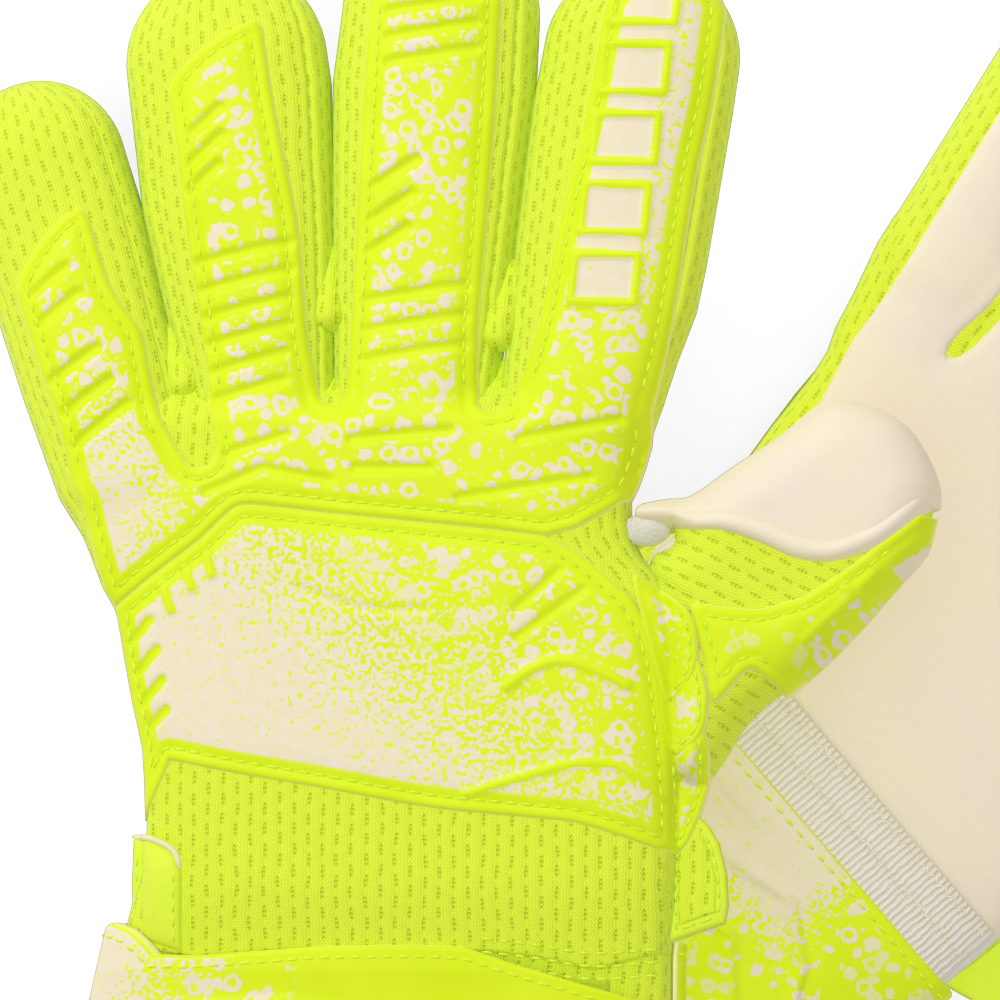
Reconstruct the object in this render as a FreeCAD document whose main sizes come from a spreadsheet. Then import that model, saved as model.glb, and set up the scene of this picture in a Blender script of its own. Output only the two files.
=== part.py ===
import FreeCAD, Part
import Sketcher
import math
import os

# A pair of goalkeeper gloves laid on a table, one across the other.
# Each glove is drafted once in its own plan: x to the thumb side, y to the
# fingertips, z from the palm (0) to the back of the hand.  The left glove lies
# palm down, propped on the cuff of the right glove, which lies palm up.  The
# right glove is the mirror image of the left one in z, so both share one plan.
# Soft goods are drafted as flat panels and upright stall walls around open
# cavities: the hand, the four finger stalls, the thumb stall and the cuff.

V = FreeCAD.Vector
doc = FreeCAD.newDocument("goalkeeper_gloves")

# ---------------------------------------------------------------- dimensions
sheet = doc.addObject("Spreadsheet::Sheet", "dims")
DIMS = [
    ("glove_depth", 24.0), ("palm_foam", 3.5), ("back_foam", 4.0), ("lining_foam", 2.6),
    ("stall_wall", 2.0), ("mesh_sheet", 1.6), ("elastic_sheet", 2.8), ("sleeve_wall", 1.6),
    ("strap_sheet", 3.0), ("strap_under", 2.8), ("hook_sheet", 0.9), ("loop_sheet", 1.0), ("tab_sheet", 2.4),
    ("thumb_low", 2.0), ("thumb_high", 22.0), ("thumb_skin", 2.0), ("roll_height", 2.0),
    ("bellows_low", 8.0), ("bellows_depth", 10.0),
    # knuckle centres, fingertips and half widths in plan
    ("little_base_x", -47.2), ("little_base_y", 24.5), ("little_tip_x", -68.5), ("little_tip_y", 98.0),
    ("little_half_base", 13.5), ("little_half_tip", 16.3),
    ("ring_base_x", -21.1), ("ring_base_y", 37.7), ("ring_tip_x", -32.0), ("ring_tip_y", 123.8),
    ("ring_half_base", 13.6), ("ring_half_tip", 17.2),
    ("middle_base_x", 8.4), ("middle_base_y", 37.7), ("middle_tip_x", 11.7), ("middle_tip_y", 132.0),
    ("middle_half_base", 14.2), ("middle_half_tip", 17.8),
    ("index_base_x", 40.6), ("index_base_y", 37.7), ("index_tip_x", 51.9), ("index_tip_y", 123.6),
    ("index_half_base", 14.6), ("index_half_tip", 18.3),
    ("knuckle_gap", 3.5), ("palm_gap", 6.5), ("mesh_back_inset", 0.8), ("palm_inset", 0.3),
    # cuff and strap in plan
    ("wrist_y", -50.0), ("cuff_end_y", -137.0), ("cuff_left_x", -49.5), ("cuff_right_x", 56.0),
    ("sleeve_low", 3.1), ("sleeve_high", 18.1),
    ("strap_left_x", -50.0), ("strap_right_x", 54.0), ("strap_top_y", -64.0), ("strap_end_y", -122.0),
    ("base_left_x", -49.0), ("base_right_x", 55.5), ("base_top_y", -61.5), ("base_end_y", -122.0),
    ("loop_left_x", -12.0), ("loop_right_x", 46.0), ("loop_top_y", -71.0), ("loop_end_y", -116.0),
    ("hook_left_x", -8.0), ("hook_right_x", 44.0), ("hook_top_y", -73.0), ("hook_end_y", -114.0),
    ("elastic_left_x", -41.5), ("elastic_right_x", 56.5), ("elastic_top_y", -50.2), ("elastic_end_y", -61.2),
    # how the pair lies: the left glove's tilt and lift, the right glove's turn
    ("tilt_y_deg", -6.43), ("tilt_x_deg", -7.41), ("left_lift", 21.35),
    ("right_turn_deg", -49.3), ("right_x", 118.2), ("right_y", 13.4),
    ("shift_x", -83.94), ("shift_y", 0.9895),
]
for row, (name, value) in enumerate(DIMS, start=1):
    sheet.set("A%d" % row, name)
    sheet.set("B%d" % row, str(value))
    sheet.setAlias("B%d" % row, name)
doc.recompute()


def dim(name):
    return float(sheet.get(name))


T = dim("glove_depth")

# ---------------------------------------------------------------- placements
tilt = FreeCAD.Rotation(V(0, 1, 0), dim("tilt_y_deg")).multiply(FreeCAD.Rotation(V(1, 0, 0), dim("tilt_x_deg")))
PLACE = {
    "left": FreeCAD.Placement(V(dim("shift_x"), dim("shift_y"), dim("left_lift")), tilt),
    "right": FreeCAD.Placement(
        V(dim("right_x") + dim("shift_x"), dim("right_y") + dim("shift_y"), 0),
        FreeCAD.Rotation(V(0, 0, 1), dim("right_turn_deg")),
    ),
}

made = []


def closed_wire(sketch, points):
    """Draws one closed outline of straight runs in a sketch and joins its corners."""
    first = sketch.GeometryCount
    n = len(points)
    lines = [
        Part.LineSegment(V(points[i][0], points[i][1], 0), V(points[(i + 1) % n][0], points[(i + 1) % n][1], 0))
        for i in range(n)
    ]
    sketch.addGeometry(lines, False)
    sketch.addConstraint(
        [Sketcher.Constraint("Coincident", first + i, 2, first + (i + 1) % n, 1) for i in range(n)]
    )


def plane_of(body, role):
    return [f for f in body.Origin.OriginFeatures if f.Role == role][0]


def height(side, low, thick):
    """The expression of a layer's lower face: the right glove is turned over."""
    if side == "left":
        return low
    return "dims.glove_depth - (%s) - (%s)" % (low, thick)


def panel(side, name, outlines, low, thick):
    """A flat panel: outlines in plan, padded from `low` by `thick` (expressions).

    Several outlines make several solids; `low` may then be a list, one for each.
    """
    body = doc.addObject("PartDesign::Body", side + "_" + name)
    body.Label = side + "_" + name
    if "AllowCompound" in body.PropertiesList:
        body.AllowCompound = True
    tip = None
    for k, outline in enumerate(outlines):
        sketch = body.newObject("Sketcher::SketchObject", "%s_%s_plan%d" % (side, name, k))
        sketch.AttachmentSupport = (plane_of(body, "XY_Plane"), [""])
        sketch.MapMode = "FlatFace"
        closed_wire(sketch, outline)
        lower_face = low if isinstance(low, str) else low[k]
        sketch.setExpression(".AttachmentOffset.Base.z", height(side, lower_face, thick))
        doc.recompute()
        pad = body.newObject("PartDesign::Pad", "%s_%s_pad%d" % (side, name, k))
        pad.Profile = sketch
        pad.setExpression("Length", thick)
        tip = pad
    body.Tip = tip
    body.Placement = PLACE[side]
    made.append(body)
    return body


def oblong(side, name, stem, low, thick):
    """A rectangular panel whose four edges are dimensioned from the sheet."""
    body = doc.addObject("PartDesign::Body", side + "_" + name)
    body.Label = side + "_" + name
    sketch = body.newObject("Sketcher::SketchObject", "%s_%s_plan" % (side, name))
    sketch.AttachmentSupport = (plane_of(body, "XY_Plane"), [""])
    sketch.MapMode = "FlatFace"
    x0, x1 = dim(stem + "_left_x"), dim(stem + "_right_x")
    y1, y0 = dim(stem + "_top_y"), dim(stem + "_end_y")
    closed_wire(sketch, [(x0, y0), (x1, y0), (x1, y1), (x0, y1)])
    sketch.addConstraint(Sketcher.Constraint("Horizontal", 0))
    sketch.addConstraint(Sketcher.Constraint("Vertical", 1))
    sketch.addConstraint(Sketcher.Constraint("Horizontal", 2))
    sketch.addConstraint(Sketcher.Constraint("Vertical", 3))
    for label, value, axis, vertex in (
        ("left", x0, "DistanceX", (0, 1)),
        ("lower", y0, "DistanceY", (0, 1)),
        ("right", x1, "DistanceX", (2, 1)),
        ("upper", y1, "DistanceY", (2, 1)),
    ):
        i = sketch.addConstraint(Sketcher.Constraint(axis, -1, 1, vertex[0], vertex[1], value))
        sketch.renameConstraint(i, label)
    sketch.setExpression("Constraints.left", "dims.%s_left_x" % stem)
    sketch.setExpression("Constraints.right", "dims.%s_right_x" % stem)
    sketch.setExpression("Constraints.lower", "dims.%s_end_y" % stem)
    sketch.setExpression("Constraints.upper", "dims.%s_top_y" % stem)
    sketch.setExpression(".AttachmentOffset.Base.z", height(side, low, thick))
    doc.recompute()
    pad = body.newObject("PartDesign::Pad", "%s_%s_pad" % (side, name))
    pad.Profile = sketch
    pad.setExpression("Length", thick)
    body.Tip = pad
    body.Placement = PLACE[side]
    made.append(body)
    return body


# ------------------------------------------------------------- finger frames
FINGERS = ("little", "ring", "middle", "index")


class Finger:
    """Plan frame of one stall: u runs from the knuckle to the tip, w to the right."""

    def __init__(self, name):
        self.bx, self.by = dim(name + "_base_x"), dim(name + "_base_y")
        dx, dy = dim(name + "_tip_x") - self.bx, dim(name + "_tip_y") - self.by
        self.length = math.hypot(dx, dy)
        self.dx, self.dy = dx / self.length, dy / self.length
        self.hb, self.ht = dim(name + "_half_base"), dim(name + "_half_tip")

    def at(self, u, w):
        return (self.bx + u * self.dx + w * self.dy, self.by + u * self.dy - w * self.dx)

    def half(self, u):
        return self.hb + (self.ht - self.hb) * max(0.0, min(1.0, u / (self.length - self.ht)))

    def outline(self, start, inset):
        """Left side up, round the tip, right side down; open at the knuckle."""
        cap = self.length - self.ht
        ht = self.ht - inset
        left = [self.at(u, -(self.half(u) - inset)) for u in (start, (start + cap) / 2, cap)]
        tip = [
            self.at(cap + ht * math.sin(a), -ht * math.cos(a))
            for a in [math.pi * k / 14 for k in range(1, 14)]
        ]
        right = [self.at(u, self.half(u) - inset) for u in (cap, (start + cap) / 2, start)]
        return left + tip + right


F = {name: Finger(name) for name in FINGERS}


def knuckle_line(offset, inset):
    """The hand's upper edge across the four knuckles, little finger first."""
    pts = []
    for name in FINGERS:
        f = F[name]
        pts.append(f.at(offset, -(f.hb - inset)))
        pts.append(f.at(offset, f.hb - inset))
    return pts


# ------------------------------------------------------------------ outlines
# little finger side of the hand, from the wrist up to the knuckle
HAND_LEFT = [(-42.6, -41.0), (-43.0, -34.2), (-43.6, -27.7), (-45.7, -19.1), (-48.1, -6.6), (-49.8, -1.0), (-52.6, 4.0), (-57.4, 15.0)]
# index and thumb side, from the knuckle down to the wrist
HAND_RIGHT = [(54.0, 33.0), (52.0, 23.2), (49.4, 18.6), (52.2, 8.0), (54.4, -6.0), (56.4, -20.0), (57.2, -35.0), (56.4, -46.0)]
# cut between the knuckle panel and the lower back panel, left to right
SPLIT = [(-48.6, -1.5), (-46.0, 0.5), (-32.1, 11.3), (-26.0, 17.2), (-23.8, 18.1), (-7.5, 16.2), (26.2, 12.8), (33.2, 11.9), (40.2, 8.6), (44.2, 5.3), (49.6, 0.6), (53.4, -6.6)]
# lower edge of the lower back panel, right to left
LOWER_EDGE = [(55.0, -46.5), (41.5, -42.5), (33.4, -41.5), (12.8, -39.6), (-7.5, -36.0), (-37.2, -30.6), (-39.6, -36.6), (-41.6, -41.3)]

WALL = dim("stall_wall")


def shifted(points, dx, dy):
    return [(x + dx, y + dy) for x, y in points]


def strip_wall(points, thick):
    """A wall of even thickness along a run of points, to the right of travel."""
    inner = []
    for i, p in enumerate(points):
        a = points[max(0, i - 1)]
        b = points[min(len(points) - 1, i + 1)]
        dx, dy = b[0] - a[0], b[1] - a[1]
        n = math.hypot(dx, dy)
        inner.append((p[0] + thick * dy / n, p[1] - thick * dx / n))
    return list(points) + inner[::-1]


def glove(side):
    # --- hand ---------------------------------------------------------------
    upper_palm = knuckle_line(-dim("palm_gap"), 0.6)
    upper_back = knuckle_line(0.0, 0.6)
    wrist = dim("wrist_y")
    palm_outline = (
        [(-41.5, wrist)] + HAND_LEFT[:-1] + upper_palm + [(51.0, 24.0)] + HAND_RIGHT[2:] + [(55.8, wrist)]
    )
    panel(side, "palm", [palm_outline], "0", "dims.palm_foam")
    back_low = "dims.glove_depth - dims.back_foam"
    split_up = shifted(SPLIT, 0.15, 0.2)
    split_low = shifted(SPLIT, -0.15, -0.2)
    knuckles = [(-52.0, 3.6), (-57.2, 14.8)] + upper_back + [(54.0, 33.0), (52.0, 23.2), (49.4, 18.9), (43.0, 14.2), (34.2, 12.4)] + split_up[1:7][::-1]
    panel(side, "knuckle_panel", [knuckles], back_low, "dims.back_foam")
    lower_back = HAND_LEFT[1:5] + split_low[:8] + [(43.2, 11.0), (46.4, 5.2), (50.4, 0.0), (53.6, -8.0), (55.6, -22.0), (56.6, -35.0), (56.0, -45.4)] + LOWER_EDGE[:]
    panel(side, "lower_back_panel", [lower_back], back_low, "dims.back_foam")
    foam_low = "dims.glove_depth - dims.back_foam - dims.lining_foam"
    foam = [(-39.0, -30.0), (-42.0, -18.0), (-45.0, -4.0), (-49.0, 6.0), (-50.6, 14.0), (-36.6, 20.0), (-33.0, 31.0), (-8.6, 34.0), (-4.6, 35.0), (21.4, 34.6), (27.0, 33.6), (50.0, 31.0), (47.4, 18.0), (49.0, 4.0), (52.0, -12.0), (53.4, -34.0), (10.0, -34.5)]
    panel(side, "backhand_foam", [foam], foam_low, "dims.lining_foam")
    # side walls of mesh: along the little finger side, and below and above the thumb
    left_wall = strip_wall([(-41.9, -49.6)] + HAND_LEFT[:-1], WALL)
    low_right = strip_wall([(56.2, -18.0), (57.0, -34.0), (56.2, -46.0), (55.6, -49.6)], WALL)
    up_right = strip_wall([(53.6, 32.0), (51.6, 23.0), (49.2, 18.9)], WALL)
    panel(side, "hand_side_mesh", [left_wall, low_right, up_right], "dims.palm_foam", "dims.glove_depth - dims.palm_foam - dims.back_foam - dims.lining_foam")
    # --- wrist and cuff -------------------------------------------------------
    mesh = [(-41.4, -41.9), (-39.2, -37.2), (-36.9, -31.3), (-7.6, -36.6), (12.8, -40.2), (33.4, -42.1), (41.4, -43.1), (54.9, -47.1), (55.6, -52.0), (54.8, -63.2), (20.0, -63.2), (-41.2, -63.2)]
    panel(side, "wrist_mesh_panel", [mesh], "dims.sleeve_high + 0.1", "dims.mesh_sheet")
    oblong(side, "wrist_elastic", "elastic", "0", "dims.elastic_sheet")
    # the cuff sleeve is a flat open tube along the forearm
    body = doc.addObject("PartDesign::Body", side + "_cuff_sleeve")
    body.Label = side + "_cuff_sleeve"
    sketch = body.newObject("Sketcher::SketchObject", side + "_cuff_sleeve_section")
    sketch.AttachmentSupport = (plane_of(body, "XZ_Plane"), [""])
    sketch.MapMode = "FlatFace"
    x0, x1 = dim("cuff_left_x"), dim("cuff_right_x")
    z0, z1 = dim("sleeve_low"), dim("sleeve_high")
    if side == "right":
        z0, z1 = T - z1, T - z0
    w = dim("sleeve_wall")
    c = 4.5
    outer = [(x0 + c, z0), (x1 - c, z0), (x1, z0 + c), (x1, z1 - c), (x1 - c, z1), (x0 + c, z1), (x0, z1 - c), (x0, z0 + c)]
    d = c - 0.6
    inner = [(x0 + w + d, z0 + w), (x1 - w - d, z0 + w), (x1 - w, z0 + w + d), (x1 - w, z1 - w - d), (x1 - w - d, z1 - w), (x0 + w + d, z1 - w), (x0 + w, z1 - w - d), (x0 + w, z0 + w + d)]
    closed_wire(sketch, outer)
    closed_wire(sketch, inner)
    # the section stands across the forearm at the wrist line
    sketch.setExpression(".AttachmentOffset.Base.z", "-dims.wrist_y + 0.2")
    doc.recompute()
    pad = body.newObject("PartDesign::Pad", side + "_cuff_sleeve_pad")
    pad.Profile = sketch
    pad.setExpression("Length", "dims.wrist_y - dims.cuff_end_y - 0.2")
    pad.Reversed = False
    body.Tip = pad
    body.Placement = PLACE[side]
    made.append(body)
    tab_left = [(-45.1, -44.0), (-36.2, -47.7), (-34.7, -51.5), (-34.7, -62.9), (-44.6, -62.1)]
    tab_right = [(57.9, -41.0), (61.7, -39.6), (65.7, -44.5), (67.5, -50.9), (67.5, -59.6), (56.6, -63.8), (56.2, -52.0)]
    panel(side, "pull_tabs", [tab_left, tab_right], ["dims.sleeve_high + dims.mesh_sheet + 0.2", "dims.sleeve_high - 6"], "dims.tab_sheet")
    bellows = [(57.6, -6.0), (59.6, -4.4), (61.2, -8.0), (63.2, -20.6), (63.4, -30.4), (61.6, -38.6), (58.2, -40.6), (58.6, -30.0), (58.4, -18.0)]
    panel(side, "thumb_bellows", [bellows], "dims.bellows_low", "dims.bellows_depth")
    oblong(side, "strap_base", "base", "0", "dims.strap_under")
    oblong(side, "loop_patch", "loop", "dims.sleeve_high + 0.1", "dims.loop_sheet")
    # --- strap, hinged along the little finger side ---------------------------
    oblong(side, "hook_patch", "hook", "dims.sleeve_high + dims.loop_sheet + 0.5", "dims.hook_sheet")
    oblong(side, "strap_flap", "strap", "dims.sleeve_high + dims.loop_sheet + dims.hook_sheet + 0.6", "dims.strap_sheet")
    # --- fingers --------------------------------------------------------------
    for name in FINGERS:
        f = F[name]
        panel(side, name + "_back", [f.outline(dim("knuckle_gap"), dim("mesh_back_inset"))], back_low, "dims.back_foam")
        ring = f.outline(dim("knuckle_gap"), 0.0) + f.outline(dim("knuckle_gap"), WALL)[::-1]
        panel(side, name + "_mesh_stall", [ring], "dims.palm_foam", "dims.glove_depth - dims.palm_foam - dims.back_foam")
        panel(side, name + "_palm_strip", [f.outline(dim("palm_gap"), dim("palm_inset"))], "0", "dims.palm_foam")
    # --- thumb, seen from its side in the glove's plan ------------------------
    top = [(61.5, 18.4), (75.0, 29.0), (85.5, 36.6), (88.3, 37.5), (93.6, 36.4), (98.9, 33.6), (102.3, 29.5), (104.6, 24.7), (105.5, 20.8)]
    pad_wall = strip_wall(top, 4.0)
    outer_edge = [(105.2, 18.6), (104.6, 14.9), (103.0, 10.0), (97.4, 3.6), (86.7, -8.4), (78.4, -15.7), (70.0, -20.6)]
    back_wall = strip_wall(outer_edge, 4.0)
    depth = "dims.thumb_high - dims.thumb_low"
    panel(side, "thumb_palm_pad", [pad_wall], "dims.thumb_low", depth)
    panel(side, "thumb_back", [back_wall], "dims.thumb_low", depth)
    web = pad_wall[len(top):][::-1][:-1] + back_wall[len(outer_edge):][::-1][1:]
    panel(side, "thumb_mesh", [web, web], ["dims.thumb_low", "dims.thumb_high - dims.thumb_skin"], "dims.thumb_skin")
    roll = [(64.0, 17.6), (66.8, 17.4), (75.7, 14.9), (82.5, 12.1), (87.6, 11.3), (95.3, 14.3), (103.6, 21.2), (104.6, 18.2), (94.5, 9.6), (86.8, 7.5), (80.2, 8.3), (74.5, 10.9), (66.8, 13.6), (64.0, 13.6)]
    panel(side, "thumb_roll", [roll], "dims.thumb_high", "dims.roll_height")


for side in ("left", "right"):
    glove(side)
doc.recompute()

# -------------------------------------------------------------------- checks
for obj in doc.Objects:
    bad = [s for s in obj.State if s in ("Invalid", "Error")]
    if bad:
        raise RuntimeError("%s is %s" % (obj.Label, bad))
for body in made:
    if body.Shape.isNull() or not body.Shape.isValid() or body.Shape.Volume < 10 or not body.Shape.Solids:
        raise RuntimeError("%s has no valid solid" % body.Label)

os.makedirs("parts", exist_ok=True)
low, high = [1e9] * 3, [-1e9] * 3
for body in made:
    b = body.Shape.BoundBox
    low = [min(low[0], b.XMin), min(low[1], b.YMin), min(low[2], b.ZMin)]
    high = [max(high[0], b.XMax), max(high[1], b.YMax), max(high[2], b.ZMax)]
    body.Shape.exportStep("parts/%s.step" % body.Label)
    print("%-28s solids %d  volume %9.1f mm3" % (body.Label, len(body.Shape.Solids), body.Shape.Volume))
print("nodes", len(made), "box", [round(v, 3) for v in low], [round(v, 3) for v in high])
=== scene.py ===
import bpy
import math
import numpy as np
from mathutils import Matrix, Vector
from mathutils.geometry import delaunay_2d_cdt

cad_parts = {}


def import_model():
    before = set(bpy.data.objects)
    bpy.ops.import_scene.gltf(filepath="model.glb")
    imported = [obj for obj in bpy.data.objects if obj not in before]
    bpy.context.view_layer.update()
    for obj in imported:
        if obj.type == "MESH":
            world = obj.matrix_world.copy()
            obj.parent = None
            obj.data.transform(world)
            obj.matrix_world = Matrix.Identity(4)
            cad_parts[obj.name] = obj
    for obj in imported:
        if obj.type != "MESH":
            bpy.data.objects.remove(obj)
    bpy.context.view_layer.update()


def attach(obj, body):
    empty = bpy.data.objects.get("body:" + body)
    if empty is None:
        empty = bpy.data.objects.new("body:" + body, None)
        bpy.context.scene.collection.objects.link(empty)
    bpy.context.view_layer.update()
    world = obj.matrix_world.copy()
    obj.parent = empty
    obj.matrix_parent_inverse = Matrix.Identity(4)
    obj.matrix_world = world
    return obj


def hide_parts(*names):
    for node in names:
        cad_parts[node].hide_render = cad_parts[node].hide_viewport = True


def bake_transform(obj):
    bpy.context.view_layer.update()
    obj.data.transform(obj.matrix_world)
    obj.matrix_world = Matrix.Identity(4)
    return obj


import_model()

# ----------------------------------------------------------------------------
# Plan of one glove, in millimetres: x to the thumb side, y to the fingertips,
# z from the palm (0) to the back of the hand (24).  Both gloves share it; the
# right one is mirrored in z and lies palm up, the left one lies palm down.
# ----------------------------------------------------------------------------
T = 24.0
SHIFT = (-83.94, 0.9895)


def rx(a):
    c, s = math.cos(math.radians(a)), math.sin(math.radians(a))
    return np.array([[1, 0, 0], [0, c, -s], [0, s, c]])


def ry(a):
    c, s = math.cos(math.radians(a)), math.sin(math.radians(a))
    return np.array([[c, 0, s], [0, 1, 0], [-s, 0, c]])


def rz(a):
    c, s = math.cos(math.radians(a)), math.sin(math.radians(a))
    return np.array([[c, -s, 0], [s, c, 0], [0, 0, 1.0]])


PLACE = {
    "left": (ry(-6.43) @ rx(-7.41), np.array([SHIFT[0], SHIFT[1], 21.35])),
    "right": (rz(-49.3), np.array([118.2 + SHIFT[0], 13.4 + SHIFT[1], 0.0])),
}


def world(side, p):
    """Glove millimetres to row-frame metres."""
    p = np.asarray(p, float).reshape(-1, 3).copy()
    if side == "right":
        p[:, 2] = T - p[:, 2]
    r, t = PLACE[side]
    return (p @ r.T + t) / 1000.0


def wpoint(side, p):
    return tuple(float(v) for v in world(side, p)[0])


def sm(t):
    t = np.clip(t, 0, 1)
    return t * t * (3 - 2 * t)


def px(x, y):
    """A point of the drafting grid, 5.3 units to the millimetre."""
    return ((x - 370) / 5.3, (600 - y) / 5.3)


def pxs(*pts):
    return [px(*p) for p in pts]


# --------------------------------------------------------------- finger frames
FING = ("little", "ring", "middle", "index")


class Finger:
    def __init__(self, base, tip, left, right, p=2.5):
        self.b = np.array(base)
        d = np.array(tip) - self.b
        self.len = float(np.hypot(*d))
        self.d = d / self.len
        self.left, self.right, self.p = np.array(left), np.array(right), p
        self.cap = self.len - float(self.left[-1, 1] + self.right[-1, 1]) / 2

    def uw(self, x, y):
        rx_, ry_ = x - self.b[0], y - self.b[1]
        return rx_ * self.d[0] + ry_ * self.d[1], rx_ * self.d[1] - ry_ * self.d[0]

    def xy(self, u, w):
        return self.b[0] + u * self.d[0] + w * self.d[1], self.b[1] + u * self.d[1] - w * self.d[0]

    def hw(self, u, sgn):
        t = self.right if sgn > 0 else self.left
        return np.interp(u, t[:, 0], t[:, 1])

    def r(self, u, w):
        """0 on the axis, 1 on the outline."""
        hl, hr = self.hw(np.minimum(u, self.cap), -1), self.hw(np.minimum(u, self.cap), 1)
        h = np.where(w < 0, hl, hr)
        over = np.maximum(0, u - self.cap) / (self.len - self.cap)
        return np.sqrt((w / h) ** 2 + over ** 2)


F = {
    "little": Finger((-47.2, 24.5), (-71.3, 100.4), [(-14, 9.6), (-8, 12.2), (0, 14.4), (20, 15.6), (60, 16.6)], [(-14, 11.0), (0, 13.4), (20, 15.2), (48, 16.6), (60, 16.4)]),
    "ring": Finger((-21.1, 37.7), (-32.0, 123.8), [(-8, 13.7), (0, 14.7), (20, 17.7), (40, 20.0), (70, 20.2)], [(-2, 12.9), (30, 16.3), (61, 18.5), (70, 18.2)]),
    "middle": Finger((7.2, 37.7), (11.7, 132.0), [(0, 15.7), (30, 18.0), (62, 20.0), (80, 18.8)], [(0, 14.9), (30, 17.0), (60, 18.9), (80, 18.6)]),
    "index": Finger((40.6, 37.7), (51.9, 123.6), [(-8, 16.0), (0, 17.4), (30, 18.9), (57, 19.4), (70, 18.8)], [(-14, 8.5), (-7.5, 11.1), (2, 13.1), (11.5, 14.8), (21, 17.0), (30, 17.6), (60, 18.4), (70, 18.4)]),
}
ZC, HF = 12.0, 11.6
HAND_L = np.array([(-66, -43.0), (-41, -42.8), (-34.2, -43.0), (-27.7, -43.6), (-19.1, -45.7), (-6.6, -48.1), (-1.1, -49.8), (3.2, -52.3), (9.6, -54.8), (15, -57.2), (20, -59.4), (26, -61.2), (46, -62)])
HAND_R = np.array([(-66, 56.8), (-49, 57.6), (-30, 58.2), (-10, 58.0), (0, 57.2), (5, 54.6), (9, 51.0), (12, 49.4), (16, 48.5), (20.5, 48.3), (25, 49.4), (30, 50.6), (38, 53.4), (46, 55.6)])


def hand_sx(x, y):
    xl, xr = np.interp(y, HAND_L[:, 0], HAND_L[:, 1]), np.interp(y, HAND_R[:, 0], HAND_R[:, 1])
    return (x - (xl + xr) / 2) / ((xr - xl) / 2)


def wrist_h(y):
    """Half thickness and middle height of the sleeve, easing from cuff to hand."""
    k = sm((np.asarray(y, float) + 78) / 26.0)
    return 8.9 + 3.1 * k, 11.0 + 1.0 * k


def smax(a, b, k):
    h = np.clip(0.5 + 0.5 * (a - b) / k, 0, 1)
    return b + (a - b) * h + k * h * (1 - h)


def half_depth(x, y, only=None):
    """Half the glove's thickness above and below its middle plane, in mm."""
    x, y = np.asarray(x, float), np.asarray(y, float)
    s = np.clip(np.abs(hand_sx(x, y)), 0, 0.9999)
    h = wrist_h(y)[0] * (1 - s ** 4.2) ** (1 / 4.2)
    h = h * (1 - sm((y - 33.0) / 16.0))
    if only == "hand":
        return h
    out = h
    for name in FING:
        f = F[name]
        u, w = f.uw(x, y)
        r = np.clip(f.r(u, w), 0, 0.9999)
        hf = HF * (1 - r ** f.p) ** (1 / f.p) * sm((u + 26) / 26.0)
        if only == name:
            return smax(h, hf, 2.5)
        out = smax(out, hf, 2.5)
    return out


def ztop(x, y):
    return wrist_h(y)[1] + half_depth(x, y)


def zbot(x, y):
    return wrist_h(y)[1] - half_depth(x, y)


# ------------------------------------------------------------------ mesh tools
MATS = {}


def make_mesh(name, side, verts, faces, body, slot, mats, fmat=None, attrs=None, smooth=True, replaces=(), blend=None):
    """One named piece from glove coordinates, riding on a body, or left unparented where it spans a joint."""
    verts = world(side, verts)
    me = bpy.data.meshes.new(name)
    if side == "right":
        faces = [tuple(reversed(f)) for f in faces]
    me.from_pydata(verts.tolist(), [], faces)
    ob = bpy.data.objects.new(name, me)
    bpy.context.scene.collection.objects.link(ob)
    for m in mats:
        me.materials.append(MATS[m])
    if fmat is not None:
        me.polygons.foreach_set("material_index", np.asarray(fmat, np.int32))
    if smooth:
        me.polygons.foreach_set("use_smooth", [True] * len(me.polygons))
    for key, val in (attrs or {}).items():
        val = np.asarray(val, np.float32)
        if val.ndim == 2:
            a = me.attributes.new(key, "FLOAT_VECTOR", "POINT")
            a.data.foreach_set("vector", val.ravel())
        else:
            a = me.attributes.new(key, "FLOAT", "POINT")
            a.data.foreach_set("value", val)
    me.validate()
    me.update()
    if replaces:
        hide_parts(*[side + "_" + n for n in replaces])
    if blend is None:
        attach(ob, side + "_" + body)
    else:
        a, b, s, e = blend
        wpoint(side, s)
        wpoint(side, e)
        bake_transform(ob)
    return ob


class Soup:
    """Collects parts of one mesh: vertices, faces, material index, attributes."""

    def __init__(self):
        self.v, self.f, self.m, self.a = [], [], [], {"pat": [], "edge": [], "dens": [], "emb": []}
        self.n = 0

    def add(self, v, f, mat, pat=None, edge=None, dens=None, emb=None):
        v = np.asarray(v, float).reshape(-1, 3)
        k = len(v)
        self.v.append(v)
        n = self.n
        self.f += [tuple(i + n for i in t) for t in f]
        self.m += [mat] * len(f) if np.isscalar(mat) else list(mat)
        self.a["pat"].append(v.copy() if pat is None else np.asarray(pat, float).reshape(-1, 3))
        self.a["edge"].append(np.full(k, 9.0) if edge is None else np.asarray(edge, float))
        self.a["dens"].append(np.zeros(k) if dens is None else np.asarray(dens, float))
        self.a["emb"].append(np.zeros(k) if emb is None else np.asarray(emb, float))
        self.n += k

    def build(self, name, side, body, slot, mats, **kw):
        v = np.concatenate(self.v)
        attrs = {k: np.concatenate(x) for k, x in self.a.items()}
        return make_mesh(name, side, v, self.f, body, slot, mats, fmat=self.m, attrs=attrs, **kw)


def resample(poly, step, closed=True):
    """Even points along each straight run; corners are kept, so shared runs match."""
    out = []
    n = len(poly)
    for i in range(n if closed else n - 1):
        a, b = np.array(poly[i], float), np.array(poly[(i + 1) % n], float)
        if tuple(a) > tuple(b):  # same points whichever way the run is walked
            flip = True
            a, b = b, a
        else:
            flip = False
        k = max(1, int(math.ceil(np.hypot(*(b - a)) / step)))
        pts = [a + (b - a) * j / k for j in range(k + 1)]
        if flip:
            pts = pts[::-1]
        out += pts[:-1]
    if not closed:
        out.append(np.array(poly[-1], float))
    return np.array(out)


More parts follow.
